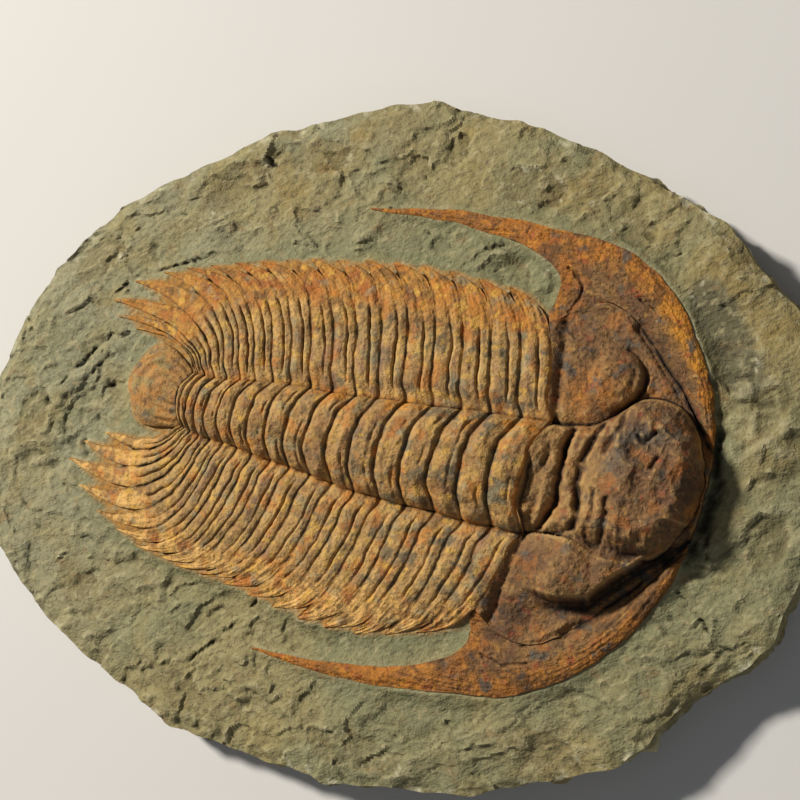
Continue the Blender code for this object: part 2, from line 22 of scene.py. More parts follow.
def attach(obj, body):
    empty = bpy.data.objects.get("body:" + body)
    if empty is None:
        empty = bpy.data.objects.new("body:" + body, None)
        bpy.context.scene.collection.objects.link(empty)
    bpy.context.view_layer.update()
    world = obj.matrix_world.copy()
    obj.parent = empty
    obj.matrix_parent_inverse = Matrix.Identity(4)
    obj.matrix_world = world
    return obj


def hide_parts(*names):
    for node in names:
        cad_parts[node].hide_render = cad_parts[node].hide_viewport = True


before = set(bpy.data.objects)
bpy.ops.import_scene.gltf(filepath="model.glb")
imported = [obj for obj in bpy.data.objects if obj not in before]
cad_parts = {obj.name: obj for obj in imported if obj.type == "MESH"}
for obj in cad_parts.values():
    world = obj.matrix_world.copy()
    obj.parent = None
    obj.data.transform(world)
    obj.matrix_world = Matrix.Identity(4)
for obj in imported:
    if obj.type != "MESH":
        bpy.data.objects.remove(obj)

Field = np.ndarray
Path = tuple[tuple[float, float], ...]

METRES = 0.001
LATTICE = 256
GRAIN_SEED = 7
TOOTH_SEED = 0.31
# Angles in degrees from which an edge is drawn sharp
PLATE_CREASE = 62.0
ROCK_CREASE = 36.0
BODY = "root"
LOG = logging.getLogger("trilobite")


class Relief(Enum):
    """Form of a fine unevenness: soft lumps, sharp crests, or scoops that meet in ridges."""

    LUMPS = "FBM"
    CRESTS = "RIDGED_MULTIFRACTAL"
    SCOOPS = "F1"


class Side(Enum):
    """The animal's own left and right."""

    LEFT = 1
    RIGHT = -1


# Curves and noise


def smoothstep(low: float, high: float, value: Field) -> Field:
    """Return 0 below low, 1 above high and a smooth S between them.

    Args:
        low: Value where the S starts.
        high: Value where the S ends.
        value: Numbers to read it at.

    Returns:
        The share, 3s² − 2s³ of the straight share s.
    """
    share = np.clip((value - low) / (high - low), 0.0, 1.0)
    return share * share * (3.0 - 2.0 * share)


def smooth_read(knots: Field, values: Field, at: Field) -> Field:
    """Read a smooth cubic curve through the given values; its slopes follow their neighbours.

    Args:
        knots: Places of the values, rising.
        values: Values at the knots.
        at: Places to read; past the ends the end values hold.

    Returns:
        The cubic Hermite curve's values.
    """
    knots = np.asarray(knots, dtype=float)
    values = np.asarray(values, dtype=float)
    slope = np.gradient(values, knots)
    at = np.clip(at, knots[0], knots[-1])
    cell = np.clip(np.searchsorted(knots, at, side="right") - 1, 0, len(knots) - 2)
    step = knots[cell + 1] - knots[cell]
    share = (at - knots[cell]) / step
    rise = values[cell + 1] - values[cell]
    start = slope[cell] * step
    end = slope[cell + 1] * step
    return (values[cell] + share * start + share ** 2 * (3.0 * rise - 2.0 * start - end)
            + share ** 3 * (start + end - 2.0 * rise))


def gauss(distance: Field, breadth: float) -> Field:
    """Return a bell of height 1, which falls to 0.37 at the given breadth."""
    return np.exp(-(distance / breadth) ** 2)


def path_distance(x: Field, y: Field, path: Path) -> Field:
    """Return how far each point lies from a line through the path's points.

    Args:
        x: First coordinates of the points.
        y: Second coordinates of the points.
        path: Corners of the line.

    Returns:
        The least distance to any stretch of the line.
    """
    nearest = np.full(np.broadcast(x, y).shape, np.inf)
    for (from_x, from_y), (to_x, to_y) in zip(path[:-1], path[1:]):
        run_x, run_y = to_x - from_x, to_y - from_y
        along = ((x - from_x) * run_x + (y - from_y) * run_y) / (run_x ** 2 + run_y ** 2)
        along = np.clip(along, 0.0, 1.0)
        away = np.hypot(x - from_x - along * run_x, y - from_y - along * run_y)
        nearest = np.minimum(nearest, away)
    return nearest


def terraces(value: Field, step: float, edge: float) -> Field:
    """Cut a slope into flat treads with short steep risers.

    Args:
        value: The smooth slope.
        step: Height of a riser.
        edge: Share of each tread that the riser takes.

    Returns:
        The whole steps below the value, plus an S over the last share of a tread.
    """
    level = np.floor(value / step)
    share = value / step - level
    return step * (level + smoothstep(1.0 - edge, 1.0, share))


class Grain:
    """Gradient noise with a fixed seed, read at points in millimetres."""

    def __init__(self, seed: int) -> None:
        """Draw the order of the lattice and a slope for each of its corners.

        Args:
            seed: Number that fixes all draws.
        """
        rng = np.random.default_rng(seed)
        self.order = np.tile(rng.permutation(LATTICE), 3)
        lean = rng.normal(size=(LATTICE, 3))
        self.lean = lean / np.linalg.norm(lean, axis=1, keepdims=True)

    def read(self, x: Field, y: Field, z: Field | float = 0.0) -> Field:
        """Read one layer of noise, whose lattice has cells of size 1.

        Each corner of a cell has a fixed slope. The value is the sum over the eight corners of
        the slope's product with the way from the corner, weighted by a fifth-power S.

        Args:
            x: First coordinates, in cells.
            y: Second coordinates, in cells.
            z: Third coordinates, in cells.

        Returns:
            Noise from about -1 to 1.
        """
        point = np.stack(np.broadcast_arrays(x, y, z), axis=-1).astype(float)
        cell = np.floor(point).astype(int)
        offset = point - cell
        cell = cell % LATTICE
        blend = offset ** 3 * (offset * (offset * 6.0 - 15.0) + 10.0)
        total = np.zeros(point.shape[:-1])
        for corner in range(8):
            step = np.array([corner & 1, corner >> 1 & 1, corner >> 2])
            index = self.order[cell[..., 0] + step[0]]
            index = self.order[index + cell[..., 1] + step[1]]
            index = self.order[index + cell[..., 2] + step[2]]
            weight = np.prod(np.where(step == 1, blend, 1.0 - blend), axis=-1)
            total += weight * np.sum(self.lean[index] * (offset - step), axis=-1)
        return 1.6 * total

    def layers(self, x: Field, y: Field, size: float, count: int = 4, gain: float = 0.5,
               z: Field | float = 0.0) -> Field:
        """Add up layers of noise, each half as large as the one before.

        Args:
            x: First coordinates in millimetres.
            y: Second coordinates in millimetres.
            size: Size of the largest lumps in millimetres.
            count: Number of layers.
            gain: Strength of each layer against the one before.
            z: Third coordinates in millimetres.

        Returns:
            Noise from about -1 to 1.
        """
        total = 0.0
        strength = 1.0
        for level in range(count):
            scale = 2.0 ** level / size
            total = total + strength * self.read(x * scale + 17.3 * level, y * scale, z * scale)
            strength *= gain
        return total

    def ridges(self, x: Field, y: Field, size: float, count: int = 3) -> Field:
        """Add up layers of noise folded at zero, so that thin crests stand out.

        A layer is the cube of 1 less the noise without its sign, half as strong as the one before.

        Args:
            x: First coordinates in millimetres.
            y: Second coordinates in millimetres.
            size: Size of the largest lumps in millimetres.
            count: Number of layers.

        Returns:
            1 along the crests, falling between them.
        """
        total = 0.0
        strength = 1.0
        for level in range(count):
            scale = 2.0 ** level / size
            fold = 1.0 - np.abs(self.read(x * scale + 31.7 * level, y * scale, 5.5))
            total = total + strength * fold ** 3
            strength *= 0.5
        return total / 1.75

    def flakes(self, x: Field, y: Field, size: float, tilt: float = 0.5) -> Field:
        """Return scoops that meet in sharp ridges, as on rock struck with a chisel.

        One centre lies at random in each cell of a square lattice. Round each, a bowl rises with
        the square of the way from it, on a tilted plane. The value is the lowest of nine bowls.

        Args:
            x: First coordinates in millimetres.
            y: Second coordinates in millimetres.
            size: Spacing of the centres in millimetres.
            tilt: Steepness of the planes against the bowls.

        Returns:
            Height from about -0.3 to 0.7.
        """
        x, y = x / size, y / size
        cell_x, cell_y = np.floor(x).astype(int), np.floor(y).astype(int)
        lowest = np.full(x.shape, np.inf)
        for step in range(9):
            near_x, near_y = cell_x + step % 3 - 1, cell_y + step // 3 - 1
            index = self.order[self.order[near_x % LATTICE] + near_y % LATTICE]
            lean = self.lean[index]
            away_x = x - near_x - 0.5 - 0.45 * lean[..., 0]
            away_y = y - near_y - 0.5 - 0.45 * lean[..., 1]
            plane = tilt * (lean[..., 1] * away_x - lean[..., 2] * away_y) + 0.25 * lean[..., 2]
            lowest = np.minimum(lowest, away_x ** 2 + away_y ** 2 + plane)
        return lowest


# Meshes


@dataclass
class Sheet:
    """A grid of surface points in world millimetres, and the traits that its finish reads."""

    x: Field
    y: Field
    z: Field
    traits: dict[str, Field] = field(default_factory=dict)

    def hollows(self, reach: int) -> Field:
        """Return how far each point lies below the mean of its neighbours, in millimetres.

        Args:
            reach: Number of grid cells that the mean takes in each way.

        Returns:
            The box mean of the heights, by running sums along both axes, less the height.
        """
        mean = self.z
        width = 2 * reach + 1
        for axis in (0, 1):
            padding = [(0, 0), (0, 0)]
            padding[axis] = (reach + 1, reach)
            running = np.cumsum(np.pad(mean, padding, mode="edge"), axis=axis)
            ahead = np.take(running, range(width, running.shape[axis]), axis=axis)
            behind = np.take(running, range(running.shape[axis] - width), axis=axis)
            mean = (ahead - behind) / width
        return mean - self.z


def fill_mesh(name: str, points: Field, quads: Field, caps: list[Field],
              traits: dict[str, Field], finish: bpy.types.Material, crease: float) -> bpy.types.Object:
    """Put points and faces into a mesh object that stands for one piece.

    Args:
        name: Name of the object and its mesh.
        points: Points in world millimetres, one row each.
        quads: Four point numbers for each four-sided face, outward.
        caps: Point numbers of each many-sided or three-sided face, outward.
        traits: A value for each point, by the attribute's name.
        finish: Material of the whole piece.
        crease: Angle in degrees from which an edge is sharp.

    Returns:
        The new object, at the origin and linked to the scene.
    """
    corners = np.concatenate([quads.ravel()] + [np.asarray(cap).ravel() for cap in caps])
    sizes = np.concatenate([np.full(len(quads), 4)] + [
        np.full(len(cap), cap.shape[1]) if cap.ndim == 2 else np.array([len(cap)]) for cap in caps])
    starts = np.concatenate([[0], np.cumsum(sizes)[:-1]])
    mesh = bpy.data.meshes.new(name)
    mesh.vertices.add(len(points))
    mesh.vertices.foreach_set("co", (points * METRES).astype(np.float32).ravel())
    mesh.loops.add(len(corners))
    mesh.loops.foreach_set("vertex_index", corners.astype(np.int32))
    mesh.polygons.add(len(sizes))
    mesh.polygons.foreach_set("loop_start", starts.astype(np.int32))
    mesh.update(calc_edges=True)
    for trait, values in traits.items():
        attribute = mesh.attributes.new(trait, "FLOAT", "POINT")
        attribute.data.foreach_set("value", values.astype(np.float32).ravel())
    mesh.materials.append(finish)
    mesh.shade_smooth()
    mesh.set_sharp_from_angle(angle=math.radians(crease))
    mesh.validate()
    piece = bpy.data.objects.new(name, mesh)
    bpy.context.scene.collection.objects.link(piece)
    return piece


def plate_mesh(name: str, sheet: Sheet, floor: float, finish: bpy.types.Material) -> bpy.types.Object:
    """Close a plate's upper side with upright edges and a flat underside.

    Args:
        name: Name of the piece.
        sheet: The upper side.
        floor: Height of the underside.
        finish: Material of the piece.

    Returns:
        The closed piece.
    """
    rows, columns = sheet.z.shape
    index = np.arange(rows * columns).reshape(rows, columns)
    quads = np.stack([index[:-1, :-1], index[:-1, 1:], index[1:, 1:], index[1:, :-1]], axis=-1)
    quads = quads.reshape(-1, 4)
    border = np.concatenate([index[0, :], index[1:, -1], index[-1, -2::-1], index[-2:0:-1, 0]])
    top = np.stack([sheet.x, sheet.y, sheet.z], axis=-1).reshape(-1, 3)
    base = top[border]
    base[:, 2] = floor
    below = rows * columns + np.arange(len(border))
    walls = np.stack([np.roll(border, -1), border, below, np.roll(below, -1)], axis=-1)
    quads = np.concatenate([quads, walls])
    cap = below
    rim = top[border]
    turn = np.sum(rim[:, 0] * np.roll(rim[:, 1], -1) - np.roll(rim[:, 0], -1) * rim[:, 1])
    if turn < 0.0:
        quads = quads[:, ::-1]
    else:
        cap = cap[::-1]
    traits = {key: np.concatenate([value.ravel(), value.ravel()[border]])
              for key, value in sheet.traits.items()}
    return fill_mesh(name, np.concatenate([top, base]), quads, [cap], traits, finish, PLATE_CREASE)


def hand_over(piece: bpy.types.Object, node: str) -> None:
    """Let a piece ride on the body and stand for its CAD node, whose own mesh is hidden.

    Args:
        piece: The finished piece.
        node: Name of the CAD node.
    """
    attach(piece, BODY)
    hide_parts(node)
    LOG.info("%s stands for %s: %d faces", piece.name, node, len(piece.data.polygons))


# Finishes


def linear_colour(code: str) -> tuple[float, float, float, float]:
    """Turn an sRGB hex colour into the linear colour that shaders take.

    Args:
        code: Six hex digits after a hash.

    Returns:
        Red, green, blue and an alpha of 1.
    """
    channels = [int(code[at:at + 2], 16) / 255.0 for at in (1, 3, 5)]
    red, green, blue = [c / 12.92 if c <= 0.04045 else ((c + 0.055) / 1.055) ** 2.4 for c in channels]
    return red, green, blue, 1.0


def add_node(tree: bpy.types.NodeTree, kind: str, settings: dict[str, object] | None = None,
             inputs: dict[str | int, object] | None = None) -> bpy.types.Node:
    """Add a shader node, set it and link it.

    Args:
        tree: The material's node tree.
        kind: Blender's name of the node's type.
        settings: Values of the node's own properties.
        inputs: For a socket's name or number, the value it holds or the output that feeds it.

    Returns:
        The new node.
    """
    node = tree.nodes.new(kind)
    for key, value in (settings or {}).items():
        setattr(node, key, value)
    for key, value in (inputs or {}).items():
        if isinstance(value, bpy.types.NodeSocket):
            tree.links.new(value, node.inputs[key])
        else:
            node.inputs[key].default_value = value
    return node


@dataclass(frozen=True)
class Stain:
    """A colour that lies over what is under it, all over, in patches or where a trait says."""

    colour: str
    amount: float
    # Size of its patches in millimetres, and the noise at which they start and are full
    patch: float = 0.0
    start: float = 0.45
    full: float = 0.6
    trait: str = ""
    stretch: float = 1.0
    turn: float = 0.0
    detail: float = 5.0
    seed: float = 0.0


@dataclass(frozen=True)
class Tooth:
    """A fine unevenness too small for the mesh: its size and height in millimetres."""

    size: float
    height: float
    detail: float = 3.0
    stretch: float = 1.0
    turn: float = 0.0
    relief: Relief = Relief.LUMPS


@dataclass(frozen=True)
class StoneFinish:
    """A dull mineral surface: a ground colour under stains, with a fine tooth."""

    name: str
    ground: str
    roughness: float
    stains: tuple[Stain, ...]
    teeth: tuple[Tooth, ...]
    specular: float = 0.3

    def noise(self, tree: bpy.types.NodeTree, look: Stain | Tooth, size: float, seed: float,
              relief: Relief = Relief.LUMPS) -> bpy.types.NodeSocket:
        """Add a noise whose lumps may be drawn out one way.

        Args:
            tree: The material's node tree.
            look: What it is for, which gives its detail, how many times as long as wide its lumps
                are, and which way they are drawn out, in degrees from +X.
            size: Width of a lump in millimetres.
            seed: Shift that sets it apart from other noises, in metres.
            relief: Form of the unevenness.

        Returns:
            The noise's value, about 0.3 to 0.7 for soft lumps.
        """
        place = add_node(tree, "ShaderNodeTexCoord")
        turned = add_node(tree, "ShaderNodeMapping", {"vector_type": "TEXTURE"}, {
            "Vector": place.outputs["Object"],
            "Location": (seed, seed, seed),
            "Rotation": (0.0, 0.0, math.radians(look.turn)),
            "Scale": (look.stretch, 1.0, 1.0),
        })
        inputs = {
            "Vector": turned.outputs["Vector"],
            "Scale": 1.0 / (size * METRES),
            "Detail": look.detail,
            "Roughness": 0.55,
        }
        if relief is Relief.SCOOPS:
            scoops = add_node(tree, "ShaderNodeTexVoronoi", {"feature": relief.value}, inputs)
            return scoops.outputs["Distance"]
        lumps = add_node(tree, "ShaderNodeTexNoise", {"noise_type": relief.value}, inputs)
        return lumps.outputs[0]

    def dress(self) -> bpy.types.Material:
        """Build the material: stains over the ground in order, and the teeth as one bump.

        Returns:
            The new material.
        """
        finish = bpy.data.materials.new(self.name)
        finish.use_nodes = True
        tree = finish.node_tree
        shader = tree.nodes["Principled BSDF"]
        colour = add_node(tree, "ShaderNodeRGB").outputs[0]
        colour.default_value = linear_colour(self.ground)
        for stain in self.stains:
            share = None
            if stain.patch:
                share = add_node(tree, "ShaderNodeMapRange", {"interpolation_type": "SMOOTHSTEP"}, {
                    "Value": self.noise(tree, stain, stain.patch, stain.seed),
                    "From Min": stain.start,
                    "From Max": stain.full,
                    "To Max": stain.amount,
                }).outputs["Result"]
            if stain.trait:
                trait = add_node(tree, "ShaderNodeAttribute", {"attribute_name": stain.trait})
                share = add_node(tree, "ShaderNodeMath", {"operation": "MULTIPLY"}, {
                    0: trait.outputs["Fac"],
                    1: stain.amount if share is None else share,
                }).outputs[0]
            colour = add_node(tree, "ShaderNodeMix", {"data_type": "RGBA"}, {
                0: stain.amount if share is None else share,
                6: colour,
                7: linear_colour(stain.colour),
            }).outputs[2]
        tree.links.new(colour, shader.inputs["Base Color"])
        height = None
        for tooth in self.teeth:
            height = add_node(tree, "ShaderNodeMath", {"operation": "MULTIPLY_ADD"}, {
                0: self.noise(tree, tooth, tooth.size, TOOTH_SEED, tooth.relief),
                1: tooth.height,
                2: 0.0 if height is None else height,
            }).outputs[0]
        bump = add_node(tree, "ShaderNodeBump", None, {
            "Height": height,
            "Distance": METRES,
            "Strength": 1.0,
        })
        tree.links.new(bump.outputs["Normal"], shader.inputs["Normal"])
        shader.inputs["Roughness"].default_value = self.roughness
        shader.inputs["Specular IOR Level"].default_value = self.specular
        shader.inputs["Metallic"].default_value = 0.0
        return finish


# Siltstone, split along its beds and dressed with a chisel: dull, khaki to grey-green, ochre where
# iron has weathered out, pale where a chip is fresh and dark where dust has not filled a crack;
# painted shade in its hollows, a painted highlight on its crests and a painted shadow in the
# trench round the nose
SILTSTONE = StoneFinish(
    name="weathered siltstone, split and chiselled",
    ground="#90865F",
    roughness=0.92,
    specular=0.2,
    stains=(
        Stain("#7F7F60", 0.75, 70.0, 0.44, 0.6),
        Stain("#8C8A70", 0.75, 30.0, 0.2, 0.6, trait="grey", seed=0.6),
        Stain("#95875A", 0.6, 30.0, 0.50, 0.66, seed=0.7),
        Stain("#8F7B4C", 0.8, 16.0, 0.30, 0.62, trait="ochre", seed=0.2),
        Stain("#767859", 0.7, 20.0, 0.34, 0.62, trait="green", seed=0.4),
        Stain("#A9793C", 0.95, 7.0, 0.12, 0.46, trait="apron", seed=0.45),
        Stain("#7C704C", 0.5, 20.0, 0.25, 0.55, trait="scar", seed=0.33),
        Stain("#5E5B47", 0.8, trait="slate"),
        Stain("#A79C77", 0.55, 4.0, 0.52, 0.66, seed=0.9, stretch=1.6, turn=35.0),
        Stain("#665D42", 0.55, 2.6, 0.50, 0.66, seed=0.1),
        Stain("#8A6B46", 0.35, 9.0, 0.58, 0.7, seed=0.5),
        # Painted highlight on the crests
        Stain("#B3AA85", 0.55, trait="crown"),
        Stain("#CFC8AA", 0.9, trait="chip"),
        # Painted shade in the hollows
        Stain("#383222", 0.5, trait="shaded_hollow"),
        Stain("#C9C3A4", 0.6, 2.4, 0.69, 0.76, detail=4.0, seed=0.8),
        # Black in cracks and pits, and painted shadow in the trench round the nose
        Stain("#17140D", 1.0, trait="crack_and_shade"),
    ),
    teeth=(
        Tooth(2.4, 0.9, detail=7.0),
        Tooth(1.0, 0.45, detail=2.0),
        Tooth(2.6, 0.5, stretch=4.0, turn=38.0),
        Tooth(5.5, 0.6, detail=2.0, stretch=1.7, turn=30.0, relief=Relief.SCOOPS),
        Tooth(13.0, 0.22, detail=6.0, stretch=1.4, turn=-20.0, relief=Relief.CRESTS),
    ),
)

SHELL_TEETH = (
    Tooth(2.2, 0.9, detail=8.0),
    Tooth(0.8, 0.45, detail=2.0),
    Tooth(3.2, 0.35, detail=2.0, relief=Relief.SCOOPS),
)

# Stains that the head and the cheeks share, so that no colour ends at the seam between them
HEAD_STAINS = (
    Stain("#8F6C40", 0.75, 15.0, 0.44, 0.62),
    Stain("#624630", 0.75, 20.0, 0.46, 0.62, seed=0.3),
    Stain("#7D5236", 0.5, 9.0, 0.52, 0.66, seed=0.6),
    Stain("#A9803F", 0.55, 5.0, 0.56, 0.68, seed=0.15),
    Stain("#AD6C26", 0.95, 9.0, 0.18, 0.52, trait="ochre", seed=0.4),
    Stain("#7C5630", 0.65, 13.0, 0.50, 0.62, trait="ochre", seed=0.85),
    Stain("#C4832E", 0.7, 5.0, 0.46, 0.64, trait="ochre", seed=0.22),
    Stain("#D2902F", 0.9, 6.0, 0.25, 0.6, trait="yellow", seed=0.65),
    Stain("#55524A", 0.85, 6.0, 0.12, 0.5, trait="smudge", seed=0.9),
    Stain("#96462A", 0.7, 3.5, 0.36, 0.62, trait="rust", seed=0.55),
    Stain("#46321F", 0.55, 2.0, 0.50, 0.62, seed=0.35),
    Stain("#4A3826", 0.55, 12.0, 0.53, 0.62, detail=8.0, seed=0.21),
    Stain("#A5672E", 0.5, 11.0, 0.54, 0.64, detail=8.0, seed=0.42),
    Stain("#A9844F", 0.65, 6.0, 0.32, 0.6, trait="tan", seed=0.63),
    Stain("#CDB282", 0.45, 2.2, 0.64, 0.76, detail=4.0, seed=0.8),
    # Painted highlight on the crests
    Stain("#C09A60", 0.5, trait="crown"),
    # Painted shade in the hollows
    Stain("#24160C", 0.85, trait="shaded_hollow"),
    # Black along the seam and cracks, and painted shade in the deepest hollows and under the right brow
    Stain("#0D0704", 1.0, trait="crack_and_shade"),
)

# Calcite shell gone to brown iron ore: a thick dull crust with red and blue-grey bloom
HEAD_SHELL = StoneFinish(
    name="brown limonite crust of the head",
    ground="#7E5D3A",
    roughness=0.75,
    stains=HEAD_STAINS,
    teeth=SHELL_TEETH,
)

# The cheeks' thinner crust: the same brown, dull orange over the border and the long spines
CHEEK_SHELL = StoneFinish(
    name="orange limonite crust of the cheeks",
    ground="#805E38",
    roughness=0.78,
    stains=HEAD_STAINS,
    teeth=SHELL_TEETH + (Tooth(1.6, 0.6, detail=3.0, stretch=5.0),),
)

# The thorax: tan ribs with mauve and grey bloom, orange where the spines run out, dark joints,
# painted shade in the grooves and a painted highlight on the crests
THORAX_SHELL = StoneFinish(
    name="tan limonite crust of the thorax",
    ground="#BC965C",
    roughness=0.8,
    stains=(
        Stain("#967349", 0.8, 13.0, 0.44, 0.6),
        Stain("#C6A052", 0.65, 10.0, 0.50, 0.64, seed=0.3),
        Stain("#8A6650", 0.75, 10.0, 0.34, 0.62, trait="mauve", seed=0.6),
        Stain("#95683A", 0.7, 8.0, 0.30, 0.6, trait="brown", seed=0.9),
        Stain("#B27831", 0.95, 14.0, 0.18, 0.50, trait="ochre", seed=0.4),
        Stain("#DDB16A", 0.85, 7.0, 0.2, 0.5, trait="tan", seed=0.12),
        Stain("#A05A28", 0.8, 12.0, 0.32, 0.56, trait="rust", seed=0.25),
        Stain("#C8953F", 0.6, 9.0, 0.50, 0.66, trait="ochre", seed=0.75),
        Stain("#7A5836", 0.6, 7.0, 0.50, 0.64, trait="ochre", seed=0.95),
        Stain("#5F5B4B", 0.85, 5.0, 0.34, 0.54, trait="smudge", detail=8.0, seed=0.7),
        Stain("#5C472F", 0.55, 11.0, 0.55, 0.64, detail=8.0, seed=0.21),
        Stain("#BE742C", 0.55, 12.0, 0.54, 0.64, detail=8.0, seed=0.42),
        Stain("#8F8A6C", 0.5, 9.0, 0.55, 0.65, detail=8.0, seed=0.63),
        Stain("#D3A548", 0.6, 7.0, 0.57, 0.66, detail=8.0, seed=0.84),
        Stain("#C9822B", 0.85, 4.0, 0.35, 0.6, trait="spot", seed=0.5),
        Stain("#5A4229", 0.4, 2.2, 0.52, 0.64, seed=0.35),
        Stain("#D6BD8C", 0.45, 2.2, 0.64, 0.76, detail=4.0, seed=0.8),
        # Painted highlight on the crests
        Stain("#D4B276", 0.5, trait="crown"),
        # Painted shade in the hollows and the grooves
        Stain("#2B1B0E", 0.72, trait="shaded_hollow"),
        # Black along the joints
        Stain("#0F0805", 1.0, trait="crack_and_shade"),
    ),
    teeth=SHELL_TEETH,
)

# The tail shield: the same crust, thin, smooth and more orange, with painted shade in its hollows
# and a painted highlight on its crests
TAIL_SHELL = StoneFinish(
    name="tan limonite crust of the tail shield",
    ground="#A87E47",
    roughness=0.8,
    stains=(
        Stain("#8F6A40", 0.75, 10.0, 0.44, 0.6),
        Stain("#B57D3A", 0.7, 7.0, 0.5, 0.64, seed=0.3),
        Stain("#8A6048", 0.45, 6.0, 0.52, 0.66, seed=0.6),
        Stain("#8C8358", 0.6, 9.0, 0.50, 0.62, seed=0.45),
        Stain("#55554C", 0.7, 4.0, 0.3, 0.6, trait="smudge", seed=0.7),
        Stain("#5A4229", 0.5, 2.0, 0.53, 0.66, seed=0.35),
        # Painted highlight on the crests, painted shade in the hollows, black at the front joint
        Stain("#C6A470", 0.5, trait="crown"),
        Stain("#2B1B0E", 0.85, trait="shaded_hollow"),
        Stain("#0F0805", 1.0, trait="crack_and_shade"),
    ),
    teeth=SHELL_TEETH,
)


# Forms shared by the plates and the rock


@dataclass(frozen=True)
class Lie:
    """Where the shell lies on the slab, and the crooked midline that it follows."""

    x: float = 12.0
    y: float = -5.0
    skew: float = 0.075
    lean_from: float = 70.0
    lean_to: float = 105.0
    tail_bend: float = 8.0
    tail_bend_start: float = -30.0
    tail_bend_length: float = 130.0
    bed: float = 32.0
    plate_gap: float = 0.3
    joint_gap: float = 0.5
    edge: float = 1.3
    waver_size: float = 17.0
    waver_along: float = 0.9
    waver_across: float = 0.7
    ripple_size: float = 5.0
    ripple: float = 0.35
    middle: Path = (
        (-154, 4.5), (-138, 5.5), (-118, 2.2), (-60, 1.5), (-20, -1.8), (30, -2.8),
        (95, -2.5), (132, 3.5), (156, 2),
    )

    @property
    def floor(self) -> float:
        """Height that the plates' own heights are counted from."""
        return self.bed + self.plate_gap

    def midline(self, u: Field) -> Field:
        """Return v of the crooked line that the axial lobe and the glabella follow."""
        along, across = np.array(self.middle).T
        return smooth_read(along, across, u)

    def lay(self, u: Field, v: Field, grain: Grain, lean: float = 0.0) -> tuple[Field, Field]:
        """Turn shell coordinates into world ones, and let every line waver alike.

        x is u plus a slight skew of v. y is v plus a bend to the left that grows with the square
        of the way down the tail, and a lean to the left of what lies far from the midline. A
        noise of this x and y is then added to both.

        Args:
            u: Places along the body.
            v: Places across it.
            grain: Noise.
            lean: Shift of the outer parts.

        Returns:
            World x and y.
        """
        behind = np.maximum(self.tail_bend_start - u, 0.0) / self.tail_bend_length
        outer = smoothstep(self.lean_from, self.lean_to, np.abs(v))
        x = self.x + u + self.skew * v
        y = self.y + v + self.tail_bend * behind ** 2 + lean * outer
        shift_x = self.waver_along * grain.layers(x, y, self.waver_size, 2, z=60.0)
        shift_x = shift_x + self.ripple * grain.layers(x, y, self.ripple_size, 2, z=66.0)
        shift_y = self.waver_across * grain.layers(x, y, self.waver_size, 2, z=72.0)
        return x + shift_x, y + shift_y


LIE = Lie()


